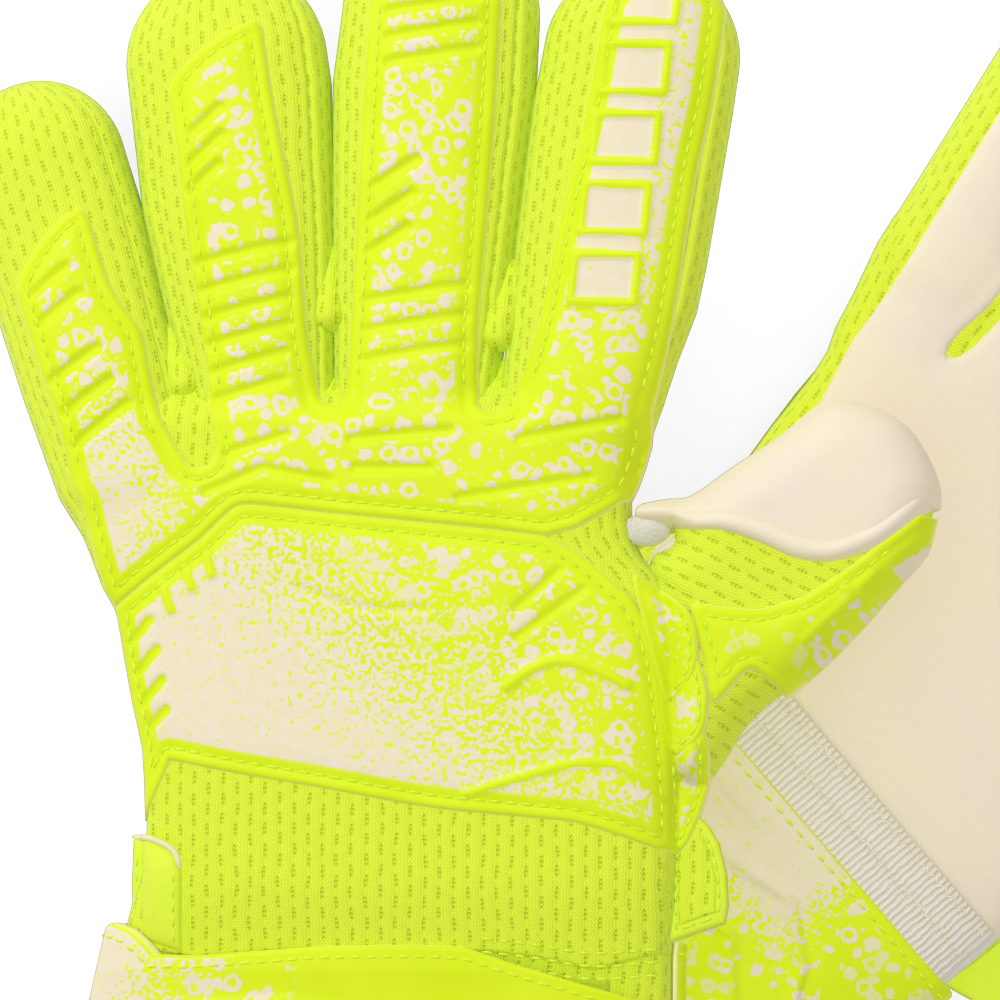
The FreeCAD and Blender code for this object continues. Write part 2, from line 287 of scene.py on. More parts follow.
def smooth_poly(pts, closed=True, per=6):
    """Catmull-Rom through the corners."""
    pts = np.array(pts, float)
    n = len(pts)
    out = []
    for i in range(n if closed else n - 1):
        if closed:
            p0, p1, p2, p3 = pts[i - 1], pts[i], pts[(i + 1) % n], pts[(i + 2) % n]
        else:
            p0, p1, p2, p3 = pts[max(i - 1, 0)], pts[i], pts[i + 1], pts[min(i + 2, n - 1)]
        for j in range(per):
            t = j / per
            out.append(0.5 * ((2 * p1) + (-p0 + p2) * t + (2 * p0 - 5 * p1 + 4 * p2 - p3) * t * t + (-p0 + 3 * p1 - 3 * p2 + p3) * t ** 3))
    if not closed:
        out.append(pts[-1])
    return np.array(out)


def seg_dist(p, a, b):
    """Distance of points p to the segments a-b, taken together."""
    best = np.full(len(p), 1e9)
    for i in range(len(a)):
        d = b[i] - a[i]
        L = float(d @ d)
        if L < 1e-12:
            continue
        t = np.clip(((p - a[i]) @ d) / L, 0, 1)
        q = p - a[i] - t[:, None] * d
        best = np.minimum(best, np.einsum("ij,ij->i", q, q))
    return np.sqrt(best)


def line_dist(p, line):
    line = np.asarray(line, float)
    return seg_dist(p, line[:-1], line[1:])


def inside(p, poly):
    x, y = p[:, 0], p[:, 1]
    res = np.zeros(len(p), bool)
    n = len(poly)
    for i in range(n):
        x0, y0 = poly[i]
        x1, y1 = poly[(i + 1) % n]
        if y0 == y1:
            continue
        c = ((y0 > y) != (y1 > y)) & (x < (x1 - x0) * (y - y0) / (y1 - y0) + x0)
        res ^= c
    return res


def sdf(p, poly):
    """Positive inside."""
    poly = np.asarray(poly, float)
    d = seg_dist(p, poly, np.roll(poly, -1, 0))
    return np.where(inside(p, poly), d, -d)


def area(poly):
    p = np.asarray(poly, float)
    q = np.roll(p, -1, 0)
    return 0.5 * float(np.sum(p[:, 0] * q[:, 1] - q[:, 0] * p[:, 1]))


def tri_panel(poly, step, holes=()):
    """Triangulated flat panel: points, triangles, edge distance, boundary loop."""
    if area(poly) < 0:
        poly = poly[::-1]
    ring = resample(poly, step * 0.9)
    lo, hi = ring.min(0), ring.max(0)
    xs = np.arange(lo[0], hi[0] + step, step)
    ys = np.arange(lo[1], hi[1] + step, step * 0.866)
    gx, gy = np.meshgrid(xs, ys)
    gx = gx + (np.arange(len(ys)) % 2)[:, None] * step * 0.5
    grid = np.stack([gx.ravel(), gy.ravel()], 1)
    d = sdf(grid, ring)
    grid = grid[d > 1.05]
    # two rows just inside the edge carry its rounding
    nxt, prv = np.roll(ring, -1, 0), np.roll(ring, 1, 0)
    tang = nxt - prv
    tang /= np.maximum(1e-9, np.hypot(tang[:, 0], tang[:, 1]))[:, None]
    norm = np.stack([-tang[:, 1], tang[:, 0]], 1)
    rows = []
    for off in (0.28, 0.7):
        q = ring + norm * off
        dq = sdf(q, ring)
        rows.append(q[dq > off * 0.8])
    pts = np.concatenate([ring] + rows + [grid])
    nb = len(ring)
    res = delaunay_2d_cdt([Vector((float(a), float(b))) for a, b in pts], [], [list(range(nb))], 1, 1e-5)
    out = np.array([(v.x, v.y) for v in res[0]])
    faces = [tuple(f) for f in res[2] if len(f) == 3]
    first = {}
    for i, orig in enumerate(res[3]):
        for o in orig:
            first.setdefault(o, i)
    loop = [first[i] for i in range(nb) if i in first]
    dist = sdf(out, ring)
    dist = np.maximum(dist, 0)
    dist[loop] = 0
    # faces counter-clockwise
    fixed = []
    for a, b, c in faces:
        pa, pb, pc = out[a], out[b], out[c]
        if (pb[0] - pa[0]) * (pc[1] - pa[1]) - (pb[1] - pa[1]) * (pc[0] - pa[0]) < 0:
            a, b = b, a
        fixed.append((a, b, c))
    return out, fixed, dist, loop


def drape(soup, poly, step, zf, thick, sgn=1, mat=0, edge_mat=1, pat=None, dens=None, emboss=None, free=None, rise=0.9, sink=0.9, puff=0.0, open_edges=(), groove=0.0, edge_add=0.0):
    """A latex panel lying on the surface zf, with a rounded edge and a skirt.

    emboss(p) returns (height, mark) in mm at plan points.  open_edges are cut
    lines where the panel runs on into its neighbour, so the edge isn't rounded.
    """
    p, faces, d, loop = tri_panel(poly, step)
    ed = d.copy()
    if open_edges:
        ring = resample(poly, step * 0.9)
        a, b = ring, np.roll(ring, -1, 0)
        keep = np.ones(len(ring), bool)
        mid = (a + b) / 2
        for line in open_edges:
            keep &= line_dist(mid, line) > 1e-3
        ed = seg_dist(p, a[keep], b[keep])
    prof = np.sqrt(np.clip(1 - (1 - np.clip(ed / rise, 0, 1)) ** 2, 0, 1))
    h = thick * (0.35 + 0.65 * prof)
    if puff:
        h = h + puff * sm(ed / 7.0)
    mark = np.zeros(len(p))
    if emboss is not None:
        e, mark = emboss(p)
        h = h + e * sm(ed / 1.6)
    if groove:
        h = h - 0.42 * np.exp(-((ed - groove) / 0.55) ** 2)
    z = zf(p[:, 0], p[:, 1]) + sgn * h
    top = np.column_stack([p, z])
    pat3 = np.column_stack([p, np.zeros(len(p))]) if pat is None else pat(p)
    dn = np.zeros(len(p)) if dens is None else dens(p, ed)
    f = faces if sgn > 0 else [(a, c, b) for a, b, c in faces]
    soup.add(top, f, mat, pat3, np.where(ed > 0.6, ed + edge_add, ed), dn, mark)
    # skirt
    lp = p[loop]
    low = np.column_stack([lp, zf(lp[:, 0], lp[:, 1]) - sgn * sink])
    up = top[loop]
    n = len(loop)
    sv = np.concatenate([up, low])
    sf = []
    ring_ed = ed[loop]
    for i in range(n):
        j = (i + 1) % n
        if ring_ed[i] > 0.3 and ring_ed[j] > 0.3:
            continue
        q = (i, n + i, n + j, j)
        sf.append(q if sgn > 0 else q[::-1])
    soup.add(sv, sf, edge_mat, np.tile(pat3[loop], (2, 1)), np.zeros(2 * n), np.tile(dn[loop], 2), np.zeros(2 * n))
    return top, d


def stitches(soup, line, zf, height, mat, pitch=3.0, length=2.1, rad=0.27, sgn=1, closed=False):
    """A run of thread stitches lying on a surface along a plan line."""
    line = np.asarray(line, float)
    if closed:
        line = np.concatenate([line, line[:1]])
    seg = np.hypot(*(np.diff(line, axis=0).T))
    s = np.concatenate([[0], np.cumsum(seg)])
    total = s[-1]
    n = max(1, int(total / pitch))
    for k in range(n):
        c = (k + 0.5) * total / n
        t = np.linspace(c - length / 2, c + length / 2, 5)
        x, y = np.interp(t, s, line[:, 0]), np.interp(t, s, line[:, 1])
        z = zf(x, y) + sgn * (height + 0.14 + 0.16 * np.array([-1.4, 0.4, 0.8, 0.4, -1.4]))
        r = rad * np.array([0.55, 1, 1.05, 1, 0.55])
        tube(soup, np.column_stack([x, y, z]), r, mat, 5)


def tube(soup, pts, rad, mat, sides=8, caps=True, pat=None, dens=None):
    pts = np.asarray(pts, float)
    rad = np.full(len(pts), rad) if np.isscalar(rad) else np.asarray(rad)
    d = np.gradient(pts, axis=0)
    d /= np.maximum(1e-9, np.linalg.norm(d, axis=1))[:, None]
    up = np.array([0, 0, 1.0])
    side = np.cross(d, up)
    side /= np.maximum(1e-9, np.linalg.norm(side, axis=1))[:, None]
    nrm = np.cross(side, d)
    v, f = [], []
    ang = np.arange(sides) * 2 * math.pi / sides
    for i in range(len(pts)):
        v.append(pts[i] + rad[i] * (np.cos(ang)[:, None] * side[i] + np.sin(ang)[:, None] * nrm[i]))
    v = np.concatenate(v)
    for i in range(len(pts) - 1):
        for j in range(sides):
            a, b = i * sides + j, i * sides + (j + 1) % sides
            f.append((a, b, b + sides, a + sides))
    f = [t[::-1] for t in f]
    if caps:
        f.append(tuple(range(sides)))
        f.append(tuple(reversed(range(len(v) - sides, len(v)))))
    soup.add(v, f, mat, pat=pat, dens=None if dens is None else np.full(len(v), dens), emb=np.zeros(len(v)))


def grid_surface(soup, P, mat, pat=None, wrap=False, flip=False, dens=0.0, edge=9.0):
    """P is rows x cols x 3."""
    r, c = P.shape[:2]
    v = P.reshape(-1, 3)
    f = []
    for i in range(r - 1):
        for j in range(c if wrap else c - 1):
            k = (j + 1) % c
            q = (i * c + j, i * c + k, (i + 1) * c + k, (i + 1) * c + j)
            f.append(q[::-1] if flip else q)
    soup.add(v, f, mat, None if pat is None else pat.reshape(-1, 3), np.full(len(v), edge), np.full(len(v), dens))


# ------------------------------------------------------------------- materials
def srgb(r, g, b):
    def lin(c):
        c /= 255.0
        return c / 12.92 if c <= 0.04045 else ((c + 0.055) / 1.055) ** 2.4
    return (lin(r), lin(g), lin(b), 1.0)


NEON = srgb(217, 237, 28)
NEON2 = srgb(211, 232, 14)
CREAM2 = srgb(230, 217, 182)
NEON_DEEP = srgb(196, 214, 14)
CREAM = srgb(231, 219, 196)
CREAM_PALM = srgb(232, 219, 200)
GREY = srgb(214, 208, 188)
# darker yarn colour for the knit's low places: painted shade in the knit's valleys
MESH_VALLEY_SHADE = srgb(206, 228, 28)


class Nodes:
    def __init__(self, name):
        self.mat = bpy.data.materials.new(name)
        self.mat.use_nodes = True
        self.nt = self.mat.node_tree
        self.nt.nodes.clear()
        self.out = self.nt.nodes.new("ShaderNodeOutputMaterial")
        self.bsdf = self.nt.nodes.new("ShaderNodeBsdfPrincipled")
        self.nt.links.new(self.bsdf.outputs[0], self.out.inputs[0])

    def link(self, a, b):
        self.nt.links.new(a, b)

    def attr(self, name):
        n = self.nt.nodes.new("ShaderNodeAttribute")
        n.attribute_name = name
        return n

    def math(self, op, a, b=None, c=None, clamp=False):
        n = self.nt.nodes.new("ShaderNodeMath")
        n.operation = op
        n.use_clamp = clamp
        for i, v in enumerate((a, b, c)):
            if v is None:
                continue
            if isinstance(v, (int, float)):
                n.inputs[i].default_value = v
            else:
                self.link(v, n.inputs[i])
        return n.outputs[0]

    def ramp(self, v, lo, hi):
        n = self.nt.nodes.new("ShaderNodeMapRange")
        n.interpolation_type = "SMOOTHSTEP"
        n.inputs["From Min"].default_value = lo
        n.inputs["From Max"].default_value = hi
        self.link(v, n.inputs["Value"])
        return n.outputs["Result"]

    def mix(self, fac, a, b):
        n = self.nt.nodes.new("ShaderNodeMix")
        n.data_type = "RGBA"
        for s, v in ((n.inputs[0], fac), (n.inputs[6], a), (n.inputs[7], b)):
            if isinstance(v, (int, float, tuple)):
                s.default_value = v
            else:
                self.link(v, s)
        return n.outputs[2]

    def noise(self, vec, scale, detail=2.0, rough=0.5, dist=0.0):
        n = self.nt.nodes.new("ShaderNodeTexNoise")
        n.inputs["Scale"].default_value = scale
        n.inputs["Detail"].default_value = detail
        n.inputs["Roughness"].default_value = rough
        n.inputs["Distortion"].default_value = dist
        self.link(vec, n.inputs["Vector"])
        return n.outputs["Fac"]

    def voronoi(self, vec, scale, feature="F1"):
        n = self.nt.nodes.new("ShaderNodeTexVoronoi")
        n.feature = feature
        n.inputs["Scale"].default_value = scale
        self.link(vec, n.inputs["Vector"])
        return n.outputs["Distance"]

    def vec(self, v, scale=(1, 1, 1), loc=(0, 0, 0), rot=(0, 0, 0)):
        n = self.nt.nodes.new("ShaderNodeMapping")
        n.inputs["Scale"].default_value = scale
        n.inputs["Location"].default_value = loc
        n.inputs["Rotation"].default_value = rot
        self.link(v, n.inputs["Vector"])
        return n.outputs[0]

    def bump(self, h, strength, dist, normal=None):
        n = self.nt.nodes.new("ShaderNodeBump")
        n.inputs["Strength"].default_value = strength
        n.inputs["Distance"].default_value = dist
        self.link(h, n.inputs["Height"])
        if normal is not None:
            self.link(normal, n.inputs["Normal"])
        return n.outputs[0]

    def finish(self, color, rough, normal=None, sheen=0.0, spec=0.35):
        if isinstance(color, tuple):
            self.bsdf.inputs["Base Color"].default_value = color
        else:
            self.link(color, self.bsdf.inputs["Base Color"])
        if isinstance(rough, float):
            self.bsdf.inputs["Roughness"].default_value = rough
        else:
            self.link(rough, self.bsdf.inputs["Roughness"])
        if normal is not None:
            self.link(normal, self.bsdf.inputs["Normal"])
        self.bsdf.inputs["Specular IOR Level"].default_value = spec
        self.bsdf.inputs["Sheen Weight"].default_value = sheen
        self.bsdf.inputs["Sheen Roughness"].default_value = 0.5
        return self.mat


def mat_print():
    """Neon latex printed with cream: chains of small rings where the print is
    thin, neon flecks on cream where it is heavy."""
    n = Nodes("printed_latex")
    pat = n.attr("pat").outputs["Vector"]
    dens = n.attr("dens").outputs["Fac"]
    edge = n.attr("edge").outputs["Fac"]
    emb = n.attr("emb").outputs["Fac"]
    # flecks: a fine noise cut at a level that follows the density
    fine = n.noise(pat, 0.95, 1.0, 0.4, 0.3)
    cut = n.math("ADD", n.math("MULTIPLY", dens, 0.74), 0.0)
    fleck = n.ramp(n.math("SUBTRACT", cut, fine), -0.012, 0.012)
    # chains of rings, warped so they read as loops and hooks
    warp = n.nt.nodes.new("ShaderNodeTexNoise")
    warp.inputs["Scale"].default_value = 0.42
    warp.inputs["Detail"].default_value = 1.0
    n.link(pat, warp.inputs["Vector"])
    w2 = n.nt.nodes.new("ShaderNodeVectorMath")
    w2.operation = "MULTIPLY_ADD"
    n.link(warp.outputs["Color"], w2.inputs[0])
    w2.inputs[1].default_value = (2.0, 2.0, 0.0)
    n.link(pat, w2.inputs[2])
    vor = n.nt.nodes.new("ShaderNodeTexVoronoi")
    vor.inputs["Scale"].default_value = 0.29
    vor.inputs["Randomness"].default_value = 0.72
    n.link(w2.outputs[0], vor.inputs["Vector"])
    sepc = n.nt.nodes.new("ShaderNodeSeparateColor")
    n.link(vor.outputs["Color"], sepc.inputs[0])
    band = n.math("ABSOLUTE", n.math("SUBTRACT", vor.outputs["Distance"], 0.37))
    ring = n.ramp(band, 0.135, 0.112)
    clump = n.noise(n.vec(pat, (1, 1, 1), (11.0, 5.0, 0)), 0.11, 1.0)
    on = n.ramp(n.math("ADD", n.math("MULTIPLY", sepc.outputs[0], 0.12), n.math("MULTIPLY", clump, 1.0)), 0.70, 0.68)
    rings = n.math("MULTIPLY", ring, on)
    thin = n.ramp(dens, 0.66, 0.56)
    some = n.ramp(dens, 0.06, 0.16)
    rings = n.math("MULTIPLY", n.math("MULTIPLY", rings, thin), some)
    cream = n.math("MAXIMUM", fleck, rings)
    # neon border along the cut edge, and neon on the raised marks
    cream = n.math("MULTIPLY", cream, n.ramp(edge, 3.9, 4.3))
    cream = n.math("MULTIPLY", cream, n.math("SUBTRACT", 1.0, n.ramp(emb, 0.4, 0.6)))
    tone = n.noise(pat, 0.05, 2.0)
    neon = n.mix(n.ramp(tone, 0.35, 0.7), NEON, NEON2)
    neon = n.mix(n.ramp(edge, 0.45, 0.05), neon, srgb(232, 236, 130))
    cr = n.mix(n.ramp(n.noise(pat, 0.4, 3.0), 0.3, 0.7), CREAM, CREAM2)
    col = n.mix(cream, neon, cr)
    grain = n.noise(pat, 2.6, 4.0, 0.6)
    b = n.bump(grain, 0.10, 0.0003)
    b = n.bump(cream, 0.3, 0.00012, b)
    return n.finish(col, n.math("ADD", 0.46, n.math("MULTIPLY", grain, 0.16)), b, 0.0, 0.22)


def mat_latex(name, a, b_, grain=0.16, rough=0.6):
    n = Nodes(name)
    pat = n.attr("pat").outputs["Vector"]
    tone = n.noise(pat, 0.06, 3.0)
    fine = n.noise(pat, 3.2, 5.0, 0.65)
    pores = n.ramp(n.voronoi(pat, 1.6), 0.10, 0.32)
    col = n.mix(n.ramp(tone, 0.3, 0.7), a, b_)
    col = n.mix(n.math("MULTIPLY", n.math("SUBTRACT", 1.0, pores), 0.10), col, srgb(206, 190, 158))
    col = n.mix(n.math("MULTIPLY", n.ramp(fine, 0.3, 0.8), 0.10), col, srgb(252, 246, 232))
    bp = n.bump(fine, grain, 0.0003)
    bp = n.bump(pores, 0.18, 0.0002, bp)
    return n.finish(col, n.math("ADD", rough, n.math("MULTIPLY", fine, 0.15)), bp, 0.0, 0.3)


def mat_mesh(name, a, hole_shade, pitch_x=2.75, pitch_y=3.9, hole_shade_amount=0.62):
    """Knitted air mesh: fine yarn with staggered columns of narrow slits; the yarn's low places and the slits are
    coloured darker as painted shade.
    """
    n = Nodes(name)
    pat = n.attr("pat").outputs["Vector"]
    wob = n.nt.nodes.new("ShaderNodeTexNoise")
    wob.inputs["Scale"].default_value = 0.12
    n.link(pat, wob.inputs["Vector"])
    add = n.nt.nodes.new("ShaderNodeVectorMath")
    add.operation = "MULTIPLY_ADD"
    n.link(wob.outputs["Color"], add.inputs[0])
    add.inputs[1].default_value = (1.6, 1.6, 0)
    n.link(pat, add.inputs[2])
    sep = n.nt.nodes.new("ShaderNodeSeparateXYZ")
    n.link(add.outputs[0], sep.inputs[0])
    gx = n.math("DIVIDE", sep.outputs[0], pitch_x)
    col_i = n.math("FLOOR", gx)
    odd = n.math("FLOORED_MODULO", col_i, 2.0)
    gy = n.math("ADD", n.math("DIVIDE", sep.outputs[1], pitch_y), n.math("MULTIPLY", odd, 0.5))
    fx = n.math("MULTIPLY", n.math("SUBTRACT", n.math("FRACT", gx), 0.5), pitch_x)
    fy = n.math("MULTIPLY", n.math("SUBTRACT", n.math("FRACT", gy), 0.5), pitch_y)
    # the slit is a short ladder of three pinholes
    ex = n.math("POWER", n.math("DIVIDE", fx, 0.34), 2.0)
    ey = n.math("POWER", n.math("DIVIDE", fy, 1.35), 2.0)
    dist = n.math("SQRT", n.math("ADD", ex, ey))
    holef = n.ramp(dist, 1.25, 0.55)
    rungs = n.math("COSINE", n.math("MULTIPLY", fy, 2 * math.pi / 0.86))
    holef = n.math("MULTIPLY", holef, n.math("ADD", 0.62, n.math("MULTIPLY", rungs, 0.38)))
    # loops of yarn, about half a millimetre
    vx = n.math("MULTIPLY", sep.outputs[0], 2 * math.pi / 0.62)
    zig = n.math("MULTIPLY", n.math("SINE", n.math("MULTIPLY", sep.outputs[1], 2 * math.pi / 0.86)), 1.3)
    knit = n.math("SINE", n.math("ADD", vx, zig))
    row = n.math("SINE", n.math("MULTIPLY", sep.outputs[1], 2 * math.pi / 0.43))
    yarn = n.math("ADD", n.math("MULTIPLY", knit, 0.30), n.math("MULTIPLY", row, 0.12))
    rib = n.math("COSINE", n.math("MULTIPLY", n.math("SUBTRACT", n.math("FRACT", gx), 0.5), 2 * math.pi))
    slub = n.noise(add.outputs[0], 0.7, 3.0, 0.6)
    # the yarn takes the darker colour where its height is low: painted shade in the knit's valleys, with random slub
    # tone mixed in
    c = n.mix(n.ramp(n.math("ADD", yarn, n.math("MULTIPLY", slub, 0.5)), -0.2, 0.55), MESH_VALLEY_SHADE, a)
    # the slits take a darker yellow: painted shade inside the holes
    c = n.mix(n.math("MULTIPLY", holef, hole_shade_amount), c, hole_shade)
    h = n.math("SUBTRACT", n.math("ADD", n.math("MULTIPLY", yarn, 0.30), n.math("MULTIPLY", rib, -0.22)), n.math("MULTIPLY", holef, 0.9))
    bp = n.bump(h, 0.6, 0.0006)
    return n.finish(c, 0.72, bp, 0.15, 0.2)


def mat_rib(name, a, b_, pitch=1.15):
    n = Nodes(name)
    pat = n.attr("pat").outputs["Vector"]
    sep = n.nt.nodes.new("ShaderNodeSeparateXYZ")
    n.link(pat, sep.inputs[0])
    wob = n.math("MULTIPLY", n.noise(pat, 0.4, 1.0), 0.8)
    s = n.math("SINE", n.math("MULTIPLY", n.math("ADD", sep.outputs[0], wob), 2 * math.pi / pitch))
    cross = n.math("SINE", n.math("MULTIPLY", sep.outputs[1], 2 * math.pi / 0.7))
    h = n.math("ADD", n.math("MULTIPLY", s, 0.5), n.math("MULTIPLY", cross, 0.18))
    # the second colour fills the low parts of the ribs: painted shade in the rib grooves
    col = n.mix(n.ramp(h, -0.6, 0.5), b_, a)
    return n.finish(col, 0.8, n.bump(h, 0.6, 0.0004), 0.3, 0.2)


def mat_plain(name, a, b_, scale=1.2, rough=0.6, sheen=0.0, bump=0.15):
    n = Nodes(name)
    pat = n.attr("pat").outputs["Vector"]
    f = n.noise(pat, scale, 4.0, 0.6)
    col = n.mix(n.ramp(f, 0.3, 0.7), a, b_)
    return n.finish(col, rough, n.bump(f, bump, 0.0003), sheen, 0.3)


MATS["print"] = mat_print()
MATS["cream"] = mat_latex("palm_latex", CREAM_PALM, srgb(234, 221, 194))
MATS["edge"] = mat_latex("latex_cut_edge", srgb(238, 232, 190), srgb(222, 214, 150), 0.2)
MATS["neon"] = mat_latex("neon_latex", NEON, srgb(214, 236, 26), 0.12, 0.5)
# the second colour of each mesh is painted shade for its holes
MATS["mesh"] = mat_mesh("air_mesh", srgb(222, 240, 66), srgb(190, 206, 8), 2.75, 3.9, 0.8)
MATS["mesh_side"] = mat_mesh("air_mesh_side", srgb(224, 241, 72), srgb(194, 210, 14), 2.7, 4.1, 0.7)
# the second colour of each rib fabric is painted shade for the grooves between ribs
MATS["rib"] = mat_rib("rib_elastic", srgb(234, 227, 212), srgb(222, 214, 200), 1.25)
MATS["thread"] = mat_plain("neon_thread", srgb(228, 249, 66), srgb(206, 230, 24), 3.0, 0.5, 0.1)
MATS["thread_cream"] = mat_plain("cream_thread", srgb(244, 238, 214), srgb(226, 214, 178), 3.0, 0.6, 0.2)
# its second colour is painted shade in the rib grooves
MATS["lining"] = mat_rib("cuff_lining", srgb(206, 226, 40), srgb(176, 194, 18), 1.6)
MATS["loop"] = mat_plain("loop_pile", srgb(206, 226, 44), srgb(170, 190, 20), 3.5, 0.9, 0.5, 0.6)
MATS["bind"] = mat_plain("grey_binding", srgb(226, 222, 212), srgb(204, 199, 186), 2.4, 0.85, 0.2, 0.2)
MATS["hook"] = mat_plain("hook_tape", srgb(208, 222, 84), srgb(176, 190, 40), 2.5, 0.7, 0.1, 0.6)
MATS["towel"] = mat_plain("towel_lining", srgb(222, 218, 208), srgb(186, 180, 168), 2.4, 0.95, 0.4, 0.5)

# --------------------------------------------------------------- panel outlines
LIT_CUT = [F["little"].xy(0, -10.4), F["little"].xy(0, 11.4)]
RING_CUT = [F["ring"].xy(0, -10.2), F["ring"].xy(0, 10.9)]
MID_CUT = [F["middle"].xy(0, -12.6), F["middle"].xy(0, 12.9)]
IDX_CUT = [F["index"].xy(0, -13.6), F["index"].xy(0, 12.2)]
CUTS = {"little": LIT_CUT, "ring": RING_CUT, "middle": MID_CUT, "index": IDX_CUT}
SPLIT_LINE = smooth_poly(pxs((112, 606), (126, 597), (160, 571), (200, 541), (225, 517), (244, 506), (285, 509), (330, 514), (420, 523), (509, 532), (547, 537)), False, 4)


def arc_notch(a, b, depth, n=7):
    """A rounded notch from a to b, bulging down by depth."""
    a, b = np.array(a), np.array(b)
    d = b - a
    L = np.hypot(*d)
    nrm = np.array([d[1], -d[0]]) / L
    return [tuple(a + d * (0.5 - 0.5 * math.cos(t)) + nrm * depth * math.sin(t)) for t in np.linspace(0, math.pi, n)[1:-1]]


def knuckle_poly():
    pts = []
    pts += [tuple(p) for p in SPLIT_LINE[::-1]]                                 # right to left along the split
    pts += pxs((101, 592), (86, 540), (77, 503))
    pts.append(LIT_CUT[0]); pts.append(LIT_CUT[1])
    a, b = px(180, 455), px(214, 447)
    pts += [a] + arc_notch(a, b, 3.4) + [b]
    pts.append(RING_CUT[0]); pts.append(RING_CUT[1])
    a, b = px(312, 398), px(338, 398)
    pts += arc_notch(RING_CUT[1], MID_CUT[0], 1.6, 6)
    pts.append(MID_CUT[0]); pts.append(MID_CUT[1])
    pts += arc_notch(MID_CUT[1], IDX_CUT[0], 3.0, 6)
    pts.append(IDX_CUT[0]); pts.append(IDX_CUT[1])
    pts += pxs((647, 440), (641, 462), (634, 482), (627, 496), (606, 511), (578, 528))
    return pts


def strip_poly(name, left, tip, right):
    """left side from the knuckle up, tip, right side down."""
    a, b = CUTS[name]
    return [a] + left + tip + right + [b]


STRIPS = {
    "little": strip_poly("little", pxs((50, 414), (34, 372), (20, 330), (10, 300), (8, 282)), pxs((20, 256), (42, 226), (60, 209), (70, 205)), pxs((80, 215), (92, 252), (104, 284), (120, 309), (135, 330), (145, 372), (156, 414))),
    "ring": strip_poly("ring", pxs((203, 378), (196, 330), (188, 282), (179, 232), (168, 147), (160, 100)), pxs((158, 84), (172, 60), (205, 32), (238, 15), (250, 17)), pxs((256, 40), (263, 84), (276, 147), (290, 210), (297, 270), (303, 330))),
    "middle": strip_poly("middle", pxs((346, 330), (350, 230), (355, 115), (360, 0), (364, -40)), pxs((374, -68), (396, -86), (428, -92), (462, -84), (484, -66)), pxs((493, -38), (494, 0), (489, 110), (482, 225), (475, 330))),
    "index": strip_poly("index", pxs((534, 330), (548, 260), (562, 190), (583, 97), (599, 0), (608, -16)), pxs((624, -34), (652, -44), (684, -40), (706, -26)), pxs((716, -6), (718, 12), (708, 93), (692, 173), (682, 240), (675, 290), (664, 350))),
}
LOWER_POLY = (
    [tuple(p) for p in SPLIT_LINE]
    + pxs((583, 555), (604, 572), (633, 597), (652, 628), (662, 660), (668, 700), (674, 750), (678, 800), (679, 850))
    + [tuple(p) for p in smooth_poly(pxs((660, 848), (590, 826), (547, 820), (438, 810), (330, 791), (240, 776), (173, 762)), False, 4)]
    + pxs((164, 782), (152, 805), (144, 819), (142, 790), (139, 747), (128, 701), (119, 660), (115, 635))
)


# -------------------------------------------------------------------- embossing
def feature(lines, half, height, paint=1.0):
    return [(np.array(l, float), half, height, paint) for l in lines]


def emboss_from(features):
    def f(p):
        h = np.zeros(len(p))
        m = np.zeros(len(p))
        for line, half, height, paint in features:
            lo, hi = line.min(0) - half - 1.5, line.max(0) + half + 1.5
            sel = np.all((p > lo) & (p < hi), axis=1)
            if not sel.any():
                continue
            d = line_dist(p[sel], line)
            g = 1 - sm((d - half * 0.55) / (half * 0.45 + 0.5))
            if height > 0:
                h[sel] = np.maximum(h[sel], g * height)
            else:
                h[sel] = np.where(g > 0.01, np.minimum(h[sel], g * height), h[sel])
            m[sel] = np.maximum(m[sel], (1 - sm((d - half) / 0.4)) * paint)
        return h, m
    return f


def bar(f, u, w0, w1, slant=0.0):
    return [f.xy(u - slant / 2, w0), f.xy(u + slant / 2, w1)]


FE = {n: [] for n in FING}
f_ = F["ring"]
# three slanted grooves near the tip, then slanted channels down the stall
FE["ring"] += feature([pxs((186, 128), (212, 104)), pxs((186, 158), (214, 132)), pxs((186, 186), (212, 162))], 1.0, -1.0)
FE["ring"] += feature([pxs((190 + i * 3, 262 + i * 28), (286 - i * 1, 240 + i * 28)) for i in range(0, 7)], 0.9, -0.9)
FE["middle"] += feature([pxs((382, -20 + i * 26), (470, -34 + i * 26)) for i in range(0, 4)], 0.9, -0.9)
FE["middle"] += feature([pxs((372, 183), (412, 158)), pxs((370, 217), (408, 193)), pxs((368, 250), (404, 227))], 1.1, -1.1)
FE["middle"] += feature([pxs((364, 300 + i * 30), (462, 284 + i * 30)) for i in range(0, 3)], 0.9, -0.8)
FE["little"] += feature([pxs((48, 380), (92, 348)), pxs((62, 412), (106, 380)), pxs((74, 444), (124, 404))], 1.0, -1.0)
FE["little"] += feature([pxs((34, 322), (72, 292)), pxs((28, 292), (58, 266))], 0.9, -0.8)


def index_bars():
    """Generic raised blocks, each a rounded slanted frame with a cream middle."""
    f = F["index"]
    out = []
    for u in (18.0, 31.5, 45.0, 58.5, 72.0):
        out.append([f.xy(u, -5.4), f.xy(u + 1.2, 6.6), f.xy(u + 10.4, 6.2), f.xy(u + 9.2, -5.8), f.xy(u, -5.4)])
    return out


